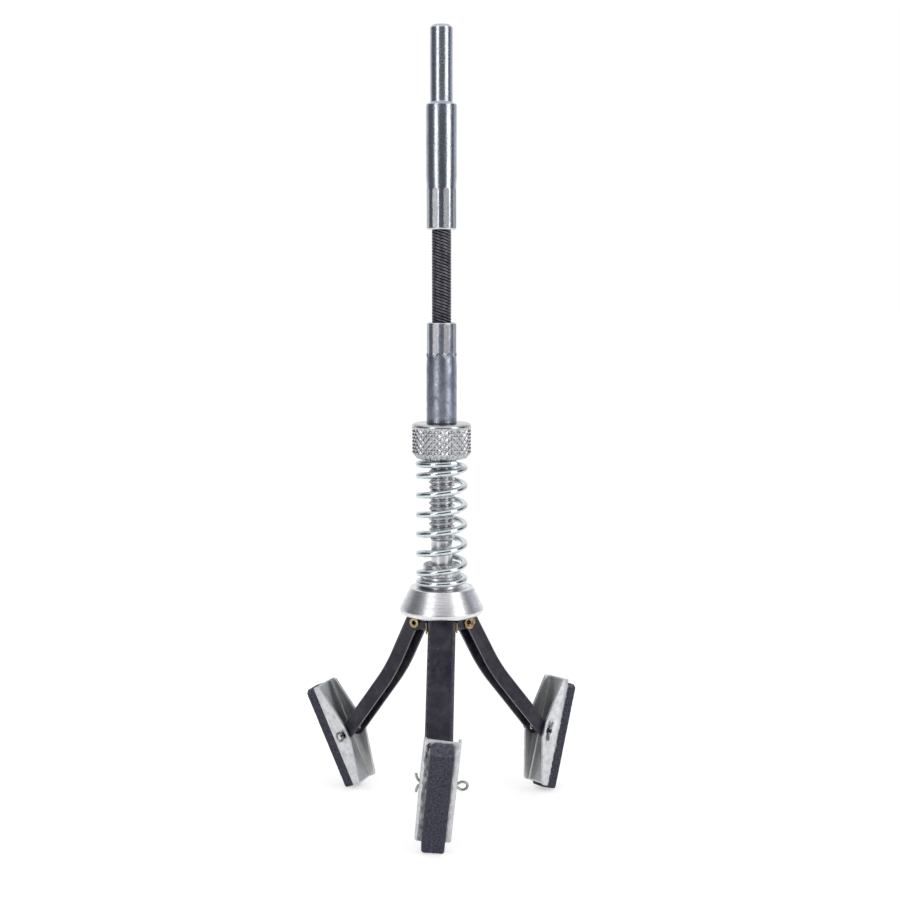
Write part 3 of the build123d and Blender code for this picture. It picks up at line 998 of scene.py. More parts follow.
@dataclass
class Crimp:
    """Flats pressed round the end of a bar where it grips the flexible shaft."""

    mouth: float
    length: float
    upward: bool
    tip: float
    lip: float
    turn: float = 19.5
    count: int = 8
    distance: float = mm(3.87)
    bar: float = mm(4.125)
    barrel: float = mm(3.975)
    inset: float = mm(0.7)
    flare: float = mm(3.5)
    flat_half: float = mm(0.9)
    mouth_roll: float = mm(0.4)
    lip_width: float = mm(0.36)
    lip_reach: float = 1.25
    lip_fade: float = 0.3
    steepness: float = 0.9
    rim: float = mm(0.4)
    rim_wall: float = mm(0.5)
    flat_below: float = mm(0.05)
    flat_above: float = mm(0.02)

    def press(self, radius: float, turn: float, height: float) -> float:
        """New radius of a point of the bar.

        Args:
            radius: Radius before the crimp.
            turn: Angle about the axis, in turns.
            height: Height of the point.

        Returns:
            The radius, smaller on the flats and slightly larger on the lip at their ends.
        """
        depth = height - self.mouth if self.upward else self.mouth - height
        beyond = depth - self.length
        narrowed = radius - (self.bar - self.barrel) * (1 - smooth_step(beyond / self.flare))
        pitch = 360 / self.count
        angle = radians((turn * 360 - self.turn + pitch / 2) % pitch - pitch / 2)
        across = abs(radius * sin(angle)) / self.flat_half
        past = beyond + self.inset - self.tip * max(1 - across, 0.0)
        rise = max(past, 0.0) + max(self.mouth_roll - depth, 0.0)
        flat = self.distance / cos(angle) + rise * self.steepness
        ridge = smooth_step(1 - abs(past - self.lip_width) / self.lip_width)
        ridge *= smooth_step((self.lip_reach - across) / self.lip_fade)
        return min(narrowed, flat) + self.lip * ridge

    def scuff(self, bm: BMesh, flats: int, rim: int) -> None:
        """Give the pressed flats their own finish, and the rim of the mouth a lighter finish as a painted
        highlight.

        Args:
            bm: The mesh.
            flats: Place of the flats' finish.
            rim: Place of the rim's lighter finish, a painted highlight.
        """
        for face in bm.faces:
            spot = face.calc_center_median()
            depth = abs(spot.z - self.mouth)
            radius = off_axis(spot)
            pressed = self.distance - self.flat_below < radius < self.barrel - self.flat_above
            # Painted highlight: the rim of the mouth gets the lighter finish.
            if depth < self.rim and self.distance - self.rim_wall < radius < self.bar:
                face.material_index = rim
            elif depth < self.length + self.tip and pressed:
                face.material_index = flats


@dataclass
class CrimpedBar:
    """What both bars share: a socket for the flexible shaft, and the rows of its crimp."""

    bar: float = mm(4.125)
    socket: float = mm(2.75)
    socket_depth: float = mm(3.0)
    socket_round: float = mm(0.1)
    crimp_row: float = mm(0.2)
    crimp_fade: float = mm(4.0)
    crimp_inner: float = mm(3.5)
    segments: int = 160

    def crimp_rows(self, outline: Outline, crimp: Crimp) -> Outline:
        """Cut an outline into short rows where the crimp presses it.

        Args:
            outline: Radius and height of each point.
            crimp: The crimp.

        Returns:
            The outline with the added points.
        """
        reach = crimp.length + self.crimp_fade
        far = crimp.mouth + (reach if crimp.upward else -reach)
        low, high = sorted((crimp.mouth, far))
        return with_rows(outline, low, high, self.crimp_row, self.crimp_inner)


@dataclass
class DriveEnd(CrimpedBar):
    """The bar that goes in the chuck, crimped on the flexible shaft."""

    shank: float = mm(3.0)
    shank_fillet: float = mm(0.55)
    top_chamfer: float = mm(0.7)
    top_round: float = mm(0.3)
    tip_round: float = mm(0.5)
    shoulder_chamfer: float = mm(0.35)
    shoulder_round: float = mm(0.15)
    bar_round: float = mm(0.2)
    mouth_round: float = mm(0.5)
    mouth_wall: float = mm(0.3)
    crimp_length: float = mm(11.4)
    crimp_lip: float = mm(0.02)
    crimp_ceiling: float = mm(-15.0)

    def build(self) -> None:
        """Turn the bar and press its crimp."""
        outline = rounded([
            (0.0, DRIVE_BASE + self.socket_depth),
            (self.socket, DRIVE_BASE + self.socket_depth),
            (self.socket, DRIVE_BASE, self.socket_round),
            (self.bar, DRIVE_BASE, self.mouth_round),
            (self.bar, -self.shoulder_chamfer, self.bar_round),
            (self.bar - self.shoulder_chamfer, 0.0, self.shoulder_round),
            (self.shank, 0.0, self.shank_fillet),
            (self.shank, DRIVE_TOP - self.top_chamfer, self.tip_round),
            (self.shank - self.top_chamfer, DRIVE_TOP, self.top_round),
            (0.0, DRIVE_TOP),
        ])
        crimp = Crimp(DRIVE_BASE, self.crimp_length, upward=True, tip=0.0, lip=self.crimp_lip)
        bm = lathe(self.crimp_rows(outline, crimp), self.segments)
        inner = self.bar - self.mouth_round - self.mouth_wall

        def shape(radius: float, turn: float, height: float) -> float:
            """Press the lower part of the bar, and leave its socket and the shank alone.

            Args:
                radius: Radius of a point.
                turn: Its angle, in turns.
                height: Its height.

            Returns:
                Its new radius.
            """
            in_crimp = radius > inner and height < self.crimp_ceiling
            return crimp.press(radius, turn, height) if in_crimp else radius

        reshape(bm, shape)
        # THIRD, the lighter thread finish, paints a highlight ring on the mouth's rim.
        crimp.scuff(bm, flats=SECOND, rim=THIRD)
        finishes = (CRIMPED_ZINC, THREAD_ZINC)
        Piece("drive_bar", "drive_end", BRIGHT_ZINC, ("drive_shank",), extra=finishes).build(bm)


@dataclass
class FlexShaft:
    """The wound flexible shaft between the two bars."""

    core: float = mm(1.9)
    wire: float = mm(0.37)
    outside: float = mm(2.65)
    strands: int = 6
    strand_spacing: float = mm(0.83)
    steps_per_turn: int = 32
    wire_sides: int = 12
    hidden: float = mm(2.4)
    core_rows: float = mm(1.0)

    def build(self) -> None:
        """Wind the strands left-handed round a dark core, and bend them with the joint."""
        low = SPINDLE_TOP - self.hidden
        high = DRIVE_BASE + self.hidden
        outline = [(0.0, low), (self.core, low), (self.core, high), (0.0, high)]
        bm = lathe(with_rows(outline, low, high, self.core_rows), self.steps_per_turn)
        turns = (high - low) / (self.strands * self.strand_spacing)
        steps = round(turns * self.steps_per_turn)
        middle = self.outside - self.wire
        ends = []
        for strand in range(self.strands):
            angle = tau * strand / self.strands
            ends += wire_disc(bm, angle, middle, low, self.wire, self.wire_sides)
        sweep(bm, ends, -tau * turns, steps, rise=(high - low) / steps)
        bmesh.ops.recalc_face_normals(bm, faces=bm.faces)
        nodes = ("flex_shaft_lower", "flex_shaft_upper")
        winding = Piece("flex_winding", "spindle and drive_end", FLEX_WIRE, nodes, blended=True)
        made = winding.build(bm)
        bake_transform(made, "spindle", "drive_end", start=(0, 0, SPINDLE_TOP), end=(0, 0, DRIVE_BASE))


@dataclass
class Spindle(CrimpedBar):
    """The spindle: crimped bar, thread, neck and tail."""

    bar_chamfer: float = mm(0.2)
    bar_round: float = mm(0.1)
    mouth_round: float = mm(0.3)
    crimp_length: float = mm(8.8)
    crimp_tip: float = mm(1.2)
    crimp_lip: float = mm(0.2)
    crimp_floor: float = mm(8.0)
    crimp_wall: float = mm(0.5)
    shoulder: float = mm(-85.14)
    plain_gap: float = mm(0.1)
    crest: float = mm(3.62)
    root: float = mm(2.95)
    pitch: float = mm(1.45)
    crest_share: float = 0.22
    flank: float = 1.5
    shaded_root: float = mm(0.25)
    runout: float = mm(1.2)
    thread_low: float = mm(-117.6)
    thread_chamfer: float = mm(0.6)
    thread_row: float = mm(0.11)
    thread_gap: float = mm(0.1)
    shoulder_gap: float = mm(0.02)
    neck: float = mm(2.95)
    neck_gap: float = mm(0.01)
    tail: float = mm(2.0)

    def thread(self, radius: float, turn: float, height: float) -> float:
        """New radius of a point of the thread.

        Args:
            radius: Radius before the thread is cut.
            turn: Angle about the axis, in turns.
            height: Height of the point.

        Returns:
            The radius, down to the root between the crests.
        """
        phase = (height / self.pitch - turn) % 1.0
        tooth = self.flank - 2 * self.flank * abs(phase - 0.5) - (0.5 - self.crest_share)
        fade = smooth_step((height - self.thread_low) / self.runout)
        return self.root + (radius - self.root) * min(max(tooth, 0.0), 1.0) * fade

    def paint(self, bm: BMesh) -> None:
        """Give the thread its finish, and its roots a darker finish as painted shade.

        Args:
            bm: The mesh.
        """
        plain = self.shoulder + self.bar_chamfer + self.plain_gap
        for face in bm.faces:
            spot = face.calc_center_median()
            # Painted shade: the thread's roots get the darker finish.
            in_shaded_root = spot.z > self.thread_low and off_axis(spot) < self.root + self.shaded_root
            below = THIRD if in_shaded_root else SECOND
            face.material_index = MAIN if spot.z > plain else below

    def build(self) -> None:
        """Turn the bar, press its crimp and cut its thread."""
        outline = rounded([
            (0.0, YOKE_BASE),
            (self.tail, YOKE_BASE),
            (self.tail, YOKE_TOP),
            (self.neck, YOKE_TOP),
            (self.neck, self.thread_low - self.thread_chamfer),
            (self.crest, self.thread_low),
            (self.crest, self.shoulder),
            (self.bar - self.bar_chamfer, self.shoulder),
            (self.bar, self.shoulder + self.bar_chamfer, self.bar_round),
            (self.bar, SPINDLE_TOP, self.mouth_round),
            (self.socket, SPINDLE_TOP, self.socket_round),
            (self.socket, SPINDLE_TOP - self.socket_depth),
            (0.0, SPINDLE_TOP - self.socket_depth),
        ])
        thread_top = self.shoulder - self.thread_gap
        rows = with_rows(outline, self.thread_low, thread_top, self.thread_row)
        crimp = Crimp(
            SPINDLE_TOP, self.crimp_length, upward=False, tip=self.crimp_tip, lip=self.crimp_lip
        )
        bm = lathe(self.crimp_rows(rows, crimp), self.segments)

        def shape(radius: float, turn: float, height: float) -> float:
            """Thread below the shoulder, crimp above it.

            Args:
                radius: Radius of a point.
                turn: Its angle, in turns.
                height: Its height.

            Returns:
                Its new radius.
            """
            if height < self.shoulder - self.shoulder_gap and radius > self.neck + self.neck_gap:
                return self.thread(radius, turn, height)
            if height > self.shoulder + self.crimp_floor and radius > self.bar - self.crimp_wall:
                return crimp.press(radius, turn, height)
            return radius

        reshape(bm, shape)
        self.paint(bm)
        # SECOND, the lighter thread finish, paints a highlight ring on the mouth's rim.
        crimp.scuff(bm, flats=THIRD, rim=SECOND)
        finishes = (THREAD_ZINC, CRIMPED_ZINC)
        Piece("spindle_bar", "spindle", DULL_ZINC, ("threaded_spindle",), extra=finishes).build(bm)


@dataclass
class AdjustingNut:
    """The round nut with its diamond knurl."""

    drum: float = mm(8.1)
    rim: float = mm(7.0)
    rim_height: float = mm(1.2)
    rim_round: float = mm(0.4)
    shoulder_drop_share: float = 0.1
    shoulder_round_share: float = 0.8
    lower_chamfer: float = mm(1.3)
    edge_round: float = mm(0.1)
    bore: float = mm(4.2)
    bore_depth: float = mm(0.6)
    thread_bore: float = mm(3.7)
    thread_depth: float = mm(1.1)
    diamonds: int = 30
    diamond_height: float = mm(1.88)
    knurl_depth: float = mm(0.45)
    knurl_gain: float = 1.05
    knurl_inside: float = mm(0.2)
    knurl_base: float = mm(0.6)
    knurl_top_share: float = 0.75
    fade_base: float = mm(0.7)
    fade_top: float = mm(0.4)
    segments: int = 480
    row: float = mm(0.1175)

    def knurl(self, radius: float, turn: float, height: float) -> float:
        """New radius of a point of the drum: pyramids between two sets of crossing grooves.

        Args:
            radius: Radius before the knurl is rolled.
            turn: Angle about the axis, in turns.
            height: Height of the point.

        Returns:
            The radius, smaller in the grooves.
        """
        if radius < self.rim + self.knurl_inside:
            return radius
        base = smooth_step((height - NUT_BASE - self.knurl_base) / self.fade_base)
        top = smooth_step((NUT_TOP - self.rim_height * self.knurl_top_share - height) / self.fade_top)
        rising = (turn * self.diamonds + height / self.diamond_height) % 1.0
        falling = (turn * self.diamonds - height / self.diamond_height) % 1.0
        peak = min(abs(2 * rising - 1), abs(2 * falling - 1))
        return radius - self.knurl_depth * (1 - min(peak * self.knurl_gain, 1.0)) * base * top

    def build(self) -> None:
        """Turn the nut and roll its knurl."""
        shoulder = NUT_TOP - self.rim_height * self.shoulder_drop_share
        outline = rounded([
            (self.thread_bore, NUT_BASE),
            (self.drum - self.lower_chamfer, NUT_BASE, self.edge_round),
            (self.drum, NUT_BASE + self.lower_chamfer, self.edge_round),
            (self.drum, shoulder, self.rim_height * self.shoulder_round_share),
            (self.rim, NUT_TOP, self.rim_round),
            (self.bore + self.edge_round, NUT_TOP, self.edge_round),
            (self.bore, NUT_TOP - self.bore_depth),
            (self.thread_bore, NUT_TOP - self.thread_depth),
            (self.thread_bore, NUT_BASE),
        ])
        bm = lathe(with_rows(outline, NUT_BASE, NUT_TOP, self.row, self.rim), self.segments)
        reshape(bm, self.knurl)
        Piece("knurled_nut", "nut", NUT_ZINC, ("adjusting_nut",)).build(bm)


@dataclass
class TensionSpring:
    """The coil spring, in two lengths: one follows the nut and one follows the collar."""

    outside: float = mm(7.2)
    wire: float = mm(0.9)
    upper_gap: float = mm(0.4)
    active_turns: float = 5.55
    closed_turns: float = 2.0
    start_angle: float = 108.0
    steps_per_turn: int = 72
    wire_sides: int = 24
    ease: float = 0.12
    lower_turns: float = 1.95

    @property
    def turns(self) -> float:
        """All turns, with the closed ones at both ends."""
        return self.active_turns + self.closed_turns

    def height(self, turn: float) -> float:
        """Height of the wire's middle line above its lower end.

        Args:
            turn: Turns from the lower end.

        Returns:
            The height, with closed turns at both ends.
        """
        closed = 2 * self.wire
        open_end = closed + self.upper_gap
        active = (SPRING_TOP - SPRING_BASE - 2 * closed - open_end) / self.active_turns
        lower = min(turn, 1.0)
        upper = max(turn - self.turns + 1, 0.0)
        return lower * closed + upper * open_end + (turn - lower - upper) * active

    def eased_height(self, turn: float) -> float:
        """Height with the change of pitch spread over a short arc.

        Args:
            turn: Turns from the lower end.

        Returns:
            The height.
        """
        if turn < self.ease or turn > self.turns - self.ease:
            return self.height(turn)
        return (self.height(turn - self.ease) + self.height(turn + self.ease)) / 2

    def wind(self, first: float, last: float) -> BMesh:
        """Wind a length of the spring, one short step of the wire after another.

        Args:
            first: Turn at which the length starts.
            last: Turn at which it ends.

        Returns:
            The length's mesh, closed at both ends.
        """
        bm = bmesh.new()
        angle = radians(self.start_angle) + tau * first
        height = SPRING_BASE + self.wire + self.eased_height(first)
        middle = self.outside - self.wire
        end = wire_disc(bm, angle, middle, height, self.wire, self.wire_sides)
        steps = round((last - first) * self.steps_per_turn)
        share = (last - first) / steps
        for step in range(steps):
            turn = first + share * step
            rise = self.eased_height(turn + share) - self.eased_height(turn)
            made = sweep(bm, end, tau * share, 1, rise)
            end = [part for part in made if isinstance(part, BMFace)]
        bmesh.ops.recalc_face_normals(bm, faces=bm.faces)
        return bm

    def build(self) -> None:
        """Wind the spring in two lengths and attach each to its own body."""
        lower = self.wind(0.0, self.lower_turns)
        upper = self.wind(self.lower_turns, self.turns)
        collar_side = Piece("spring_lower", "collar", SPRING_ZINC).build(lower)
        nut_side = Piece("spring_upper", "spring", SPRING_ZINC, ("tension_spring",)).build(upper)
        reach = self.wire + self.eased_height(self.lower_turns)
        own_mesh(nut_side)
        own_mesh(collar_side)


@dataclass
class ConeCollar:
    """The turned collar and the bush in it."""

    wide: float = mm(11.5)
    narrow: float = mm(8.75)
    land: float = mm(0.5)
    land_round: float = mm(0.5)
    corner: float = mm(1.0)
    top_chamfer: float = mm(0.3)
    top_drop_share: float = 0.3
    top_round: float = mm(0.15)
    spigot: float = mm(5.2)
    spigot_fillet: float = mm(0.2)
    spigot_round: float = mm(0.12)
    bore: float = mm(3.95)
    round_steps: int = 8
    bush_gap: float = mm(0.05)
    bush_base: float = mm(0.4)
    neck_bore: float = mm(3.03)
    flange: float = mm(5.1)
    flange_gap: float = mm(0.02)
    flange_fillet: float = mm(0.1)
    flange_round: float = mm(0.35)
    recess: float = mm(4.1)
    recess_depth: float = mm(1.2)
    recess_round: float = mm(0.2)
    segments: int = 160

    def build(self) -> None:
        """Turn the collar and the bush."""
        collar = rounded([
            (self.bore, COLLAR_BASE),
            (self.wide, COLLAR_BASE, self.corner),
            (self.wide, COLLAR_BASE + self.corner + self.land, self.land_round),
            (self.narrow, SPRING_BASE - self.top_chamfer * self.top_drop_share, self.top_chamfer),
            (self.narrow - self.top_chamfer, SPRING_BASE, self.top_round),
            (self.spigot, SPRING_BASE, self.spigot_fillet),
            (self.spigot, SPIGOT_TOP, self.spigot_round),
            (self.bore, SPIGOT_TOP),
            (self.bore, COLLAR_BASE),
        ], self.round_steps)
        base = COLLAR_BASE + self.bush_base
        under_flange = SPIGOT_TOP + self.flange_gap
        bush = rounded([
            (self.neck_bore, base),
            (self.bore - self.bush_gap, base),
            (self.bore - self.bush_gap, under_flange),
            (self.flange, under_flange, self.flange_fillet),
            (self.flange, BUSH_TOP, self.flange_round),
            (self.recess, BUSH_TOP, self.recess_round),
            (self.neck_bore, BUSH_TOP - self.recess_depth),
            (self.neck_bore, base),
        ])
        bm = lathe(collar, self.segments)
        Piece("collar_cone", "collar", TURNED_ALUMINIUM, ("spring_collar",)).build(bm)
        bm = lathe(bush, self.segments)
        Piece("sintered_bush", "collar", SINTERED, ("guide_bush",)).build(bm)


@dataclass
class Yoke:
    """The hub under the collar that carries the three rivets."""

    round_width: float = mm(0.15)

    def build(self) -> None:
        """Dress the hub with soft edges."""
        bm = merged_copy("yoke")
        soften_edges(bm, self.round_width)
        Piece("arm_yoke", "spindle", YOKE_STEEL, ("yoke",), sharp=SHEET_SHARP).build(bm)


@dataclass
class Leg:
    """One leg's place in the frame, which all its pieces share."""

    number: int
    holder_back: float = mm(3.75)

    def __post_init__(self) -> None:
        """Read the leg's place from the frame."""
        swing = JOINTS[self.own("arm_swing")]
        rock = JOINTS[self.own("shoe_rock")]
        self.pivot = Vector(swing["pos_m"])
        self.sideways = Vector(swing["axis"]).normalized()
        self.pin = Vector(rock["pos_m"])
        self.across = Vector(rock["axis"]).normalized()
        self.face = self.stone_face()
        self.up = self.across.cross(self.face)
        if self.up.z < 0:
            self.up.negate()

    def own(self, kind: str) -> str:
        """Name of this leg's own node, piece, body or joint of a kind."""
        return f"{kind}_{self.number}"

    def stone_face(self) -> Vector:
        """Direction in which the stone's working face looks.

        Returns:
            The direction, of length 1.
        """
        outward = Vector((self.pin.x, self.pin.y, 0))
        polygons = frame["nodes"][self.own("stone")].data.polygons
        facing = [polygon for polygon in polygons if polygon.normal.dot(outward) > 0]
        return max(facing, key=lambda polygon: polygon.area).normal.normalized()

    def shoe_matrix(self) -> Matrix:
        """Place of the shoe: X out of the stone, Y up the stone, Z across it, origin in the pin.

        Returns:
            The matrix that takes the shoe's own frame to the hone's.
        """
        across = self.face.cross(self.up)
        matrix = Matrix((self.face, self.up, across)).transposed().to_4x4()
        matrix.translation = self.pin
        return matrix

    def in_shoe(self, point: Vector) -> Vector:
        """Coordinates of a point in the shoe's own frame."""
        return self.shoe_matrix().inverted() @ point

    def noise_spot(self, point: Vector, spacing: float) -> Vector:
        """Place of a point in the noise, in millimetres, with each leg its own stretch of it."""
        return (point + Vector((0, 0, self.number * spacing))) * 1000


@dataclass
class Arm(Leg):
    """The pressed arm."""

    edge_round: float = mm(0.14)
    bend_highlight: float = 0.25
    bend_band: Pair = (0.55, 0.85)

    def build(self) -> None:
        """Dress the arm with soft edges, and mark its edges and bends for painted highlights."""
        bm = merged_copy(self.own("arm"))
        soften_edges(bm, self.edge_round)
        layer = edge_layer(bm)
        # The faces of the bends are marked for a fainter painted highlight.
        low, high = self.bend_band
        for face in bm.faces:
            if low < abs(face.normal.dot(self.sideways)) < high:
                face[layer] = max(face[layer], self.bend_highlight)
        name, node = self.own("pressed_arm"), self.own("arm")
        Piece(name, node, BLACK_COAT, (node,), sharp=SHEET_SHARP).build(bm)


@dataclass
class Rivet(Leg):
    """The tubular rivet in the arm's pivot."""

    bore: float = mm(0.6)
    body: float = mm(1.05)
    body_round: float = mm(0.1)
    head_inner: float = mm(3.85)
    head_outer: float = mm(4.3)
    head_radius: float = mm(1.45)
    head_fillet: float = mm(0.15)
    head_round: float = mm(0.2)
    flare_radius: float = mm(2.1)
    flare_bore: float = mm(1.25)
    flare_slope: float = mm(0.1)
    flare_round: float = mm(0.15)
    lip_round: float = mm(0.1)
    segments: int = 48
    rag: float = mm(0.35)
    rag_rise: float = 0.4
    rag_scale: float = 900.0
    rag_above: float = mm(0.05)
    noise_spacing: float = mm(5.0)

    def tear(self, bm: BMesh) -> None:
        """Make the flare's rim ragged.

        Args:
            bm: The rivet's mesh, still upright.
        """
        for vert in bm.verts:
            in_flare = vert.co.z < -self.head_inner + self.rag_above
            if in_flare and off_axis(vert.co) > self.head_radius:
                outward = Vector((vert.co.x, vert.co.y, 0))
                spot = outward + Vector((0, 0, self.number * self.noise_spacing))
                rag = noise.noise(spot * self.rag_scale) * self.rag
                vert.co += outward.normalized() * rag + Vector((0, 0, abs(rag) * self.rag_rise))

    def build(self) -> None:
        """Turn the rivet: rolled head on one side, ragged flare on the other."""
        outline = rounded([
            (self.bore, -self.head_inner),
            (self.flare_bore, -self.head_outer - self.flare_slope, self.lip_round),
            (self.flare_radius, -self.head_outer + self.flare_slope, self.flare_round),
            (self.body, -self.head_inner, self.body_round),
            (self.body, self.head_inner),
            (self.head_radius, self.head_inner, self.head_fillet),
            (self.head_radius, self.head_outer, self.head_round),
            (self.bore, self.head_outer, self.head_round),
            (self.bore, -self.head_inner),
        ])
        bm = lathe(outline, self.segments)
        self.tear(bm)
        turn = Vector((0, 0, 1)).rotation_difference(self.sideways).to_matrix().to_4x4()
        bmesh.ops.transform(bm, matrix=Matrix.Translation(self.pivot) @ turn, verts=bm.verts)
        name, node = self.own("tubular_rivet"), self.own("arm_rivet")
        Piece(name, "spindle", BRASS, (node,)).build(bm)


@dataclass
class Holder(Leg):
    """The plated channel that holds the stone."""

    edge_round: float = mm(0.12)
    inner: float = mm(4.05)
    sheet: float = mm(0.75)
    bend: float = mm(0.4)
    bend_steps: int = 5
    touching: float = mm(0.02)
    inside_gap: float = mm(0.05)

    def in_bend(self, point: Vector) -> bool:
        """Whether a point lies in the inner bends, between the back and the flanges.

        Args:
            point: The point, in the hone's frame.

        Returns:
            Whether it does.
        """
        spot = self.in_shoe(point)
        off_back = abs(spot.x - self.holder_back + self.sheet)
        return off_back < self.touching and abs(abs(spot.z) - self.inner) < self.touching

    def build(self) -> None:
        """Dress the holder: matt outside, glossy inside, with its edges and inner bends marked for painted
        highlights.
        """
        bm = merged_copy(self.own("stone_holder"))
        layer = edge_layer(bm)
        # The rounded inner bends and the other rounded edges are marked for painted highlights.
        bends = [edge for edge in bm.edges if all(self.in_bend(vert.co) for vert in edge.verts)]
        for face in round_edges(bm, bends, self.bend, self.bend_steps):
            face[layer] = 1.0
        soften_edges(bm, self.edge_round)
        for face in bm.faces:
            spot = self.in_shoe(face.calc_center_median())
            between = abs(spot.z) < self.inner + self.inside_gap
            behind = spot.x < self.holder_back - self.sheet + self.inside_gap
            face.material_index = SECOND if between and behind else MAIN
        name, node = self.own("pressed_holder"), self.own("stone_holder")
        Piece(
            name, self.own("shoe"), HOLDER_MATT, (node,), sharp=SHEET_SHARP, extra=(HOLDER_GLOSS,)
        ).build(bm)


@dataclass
class Stone(Leg):
    """The abrasive stone."""

    edge_round: float = mm(0.8)
    edge_steps: int = 5
    top_round: float = mm(1.3)
    top_steps: int = 6
    lighter_top: float = 0.5
    lighter_top_below: float = mm(0.05)
    near: float = mm(0.1)
    cell: float = mm(0.35)
    chip: float = mm(0.1)
    chip_level: float = 0.5
    chip_waves: tuple[Pair, Pair] = ((1.1, 0.5), (2.7, 0.35))
    chip_ends: float = mm(0.6)
    noise_spacing: float = mm(40.0)

    def stone_extent(self) -> tuple[Vector, Vector]:
        """Lowest and highest corner of the stone in the shoe's frame."""
        vertices = frame["nodes"][self.own("stone")].data.vertices
        return extent([self.in_shoe(vert.co) for vert in vertices])

    def crumble(self, bm: BMesh, low: Vector, high: Vector) -> None:
        """Push the surface in, unevenly.

        Args:
            bm: The stone's mesh, in the shoe's frame.
            low: Lowest corner of the stone.
            high: Highest corner of the stone.
        """
        middle = (low + high) / 2
        ends = (high.y - low.y) / 2 - self.chip_ends
        for vert in bm.verts:
            spot = self.noise_spot(vert.co, self.noise_spacing)
            waves = sum(share * noise.noise(spot * scale) for scale, share in self.chip_waves)
            inward = middle - vert.co
            if abs(inward.y) < ends:
                inward.y = 0.0
            vert.co += inward.normalized() * self.chip * max(self.chip_level + waves, 0.0)

    def build(self) -> None:
        """Shape the stone with rounded, crumbled edges."""
        low, high = self.stone_extent()
        bm = block(low, high)
        layer = edge_layer(bm)
        bond = low.x + self.near
        free = [edge for edge in bm.edges if any(ends_past(edge, X, bond))]
        top = [edge for edge in free if all(ends_past(edge, Y, high.y - self.near))]
        round_edges(bm, top, self.top_round, self.top_steps)
        # The faces of the top end are marked so that the material makes them lighter.
        for face in bm.faces:
            if min(vert.co.y for vert in face.verts) > high.y - self.top_round - self.lighter_top_below:
                face[layer] = self.lighter_top
        free = [
            edge for edge in bm.edges
            if any(ends_past(edge, X, bond)) and turns_by(edge, SQUARE_TURN)
        ]
        round_edges(bm, free, self.edge_round, self.edge_steps)
        cut_grid(bm, self.cell)
        self.crumble(bm, low, high)
        bmesh.ops.transform(bm, matrix=self.shoe_matrix(), verts=bm.verts)
        name, node = self.own("grit_stone"), self.own("stone")
        Piece(name, self.own("shoe"), STONE_GRIT, (node,)).build(bm)


@dataclass
class Glue(Stone):
    """The glue round the stone's foot: a bead on one side, a wide smear on the other."""

    length: float = mm(30.6)
    bead: float = mm(0.55)
    bead_round_share: float = 0.9
    bead_steps: int = 4
    smear: float = mm(1.15)
    smear_start_share: float = 0.3
    thickness: float = mm(0.6)
    sunk: float = mm(0.02)
    corner_steps: int = 8
    rim: float = mm(0.01)
    cell: float = mm(0.4)
    wave: float = mm(0.4)
    wave_scale: float = 0.35
    ripple_scale: float = 1.3
    ripple_share: float = 0.4
    lump_scale: float = 0.9
    lump_share: float = 0.8
    noise_spacing: float = mm(30.0)

    def squeeze(self, bm: BMesh, low: Vector, high: Vector) -> None:
        """Let the glue's sides wander and its top sink, unevenly.

        Args:
            bm: The glue's mesh, in the shoe's frame.
            low: Lowest corner of the stone.
            high: Highest corner of the stone.
        """
        for vert in bm.verts:
            spot = self.noise_spot(vert.co, self.noise_spacing)
            upper = vert.co.z > 0
            wave = noise.noise(Vector((spot.y * self.wave_scale, self.number, upper)))
            ripple = noise.noise(Vector((spot.y * self.ripple_scale, self.number, upper)))
            if abs(vert.co.z - (low.z + high.z) / 2) > (high.z - low.z) / 2 - self.near:
                side = 1 if upper else -1
                vert.co.z += side * (wave + ripple * self.ripple_share) * self.wave
            if vert.co.x > self.holder_back + self.near:
                lump = noise.noise(spot * self.lump_scale)
                vert.co.x += min(lump, 0.0) * self.thickness * self.lump_share

    def build(self) -> None:
        """Squeeze the glue out round the stone."""
        low, high = self.stone_extent()
        half_length = min(high.y - low.y, self.length) / 2
        top = min(high.y + self.bead, self.length / 2)
        under = Vector((self.holder_back - self.sunk, max(low.y, -half_length), low.z - self.bead))
        over = Vector((self.holder_back + self.thickness, top, high.z + self.smear))
        bm = block(under, over)
        corners = [
            edge for edge in bm.edges if all(ends_past(edge, Y, over.y - self.near))
            and abs(edge.verts[0].co.x - edge.verts[1].co.x) > self.near
        ]
        round_edges(bm, corners, self.top_round + self.bead, self.corner_steps)
        rim = [
            edge for edge in bm.edges
            if all(ends_past(edge, X, over.x - self.rim)) and turns_by(edge, SQUARE_TURN)
        ]
        round_edges(bm, rim, self.bead * self.bead_round_share, self.bead_steps)
        cut_grid(bm, self.cell)
        self.squeeze(bm, low, high)
        for face in bm.faces:
            in_smear = face.calc_center_median().z > high.z + self.bead * self.smear_start_share
            face.material_index = SECOND if in_smear else MAIN
        bmesh.ops.transform(bm, matrix=self.shoe_matrix(), verts=bm.verts)
        Piece(self.own("stone_glue"), self.own("shoe"), GLUE_BEAD, extra=(GLUE_SMEAR,)).build(bm)


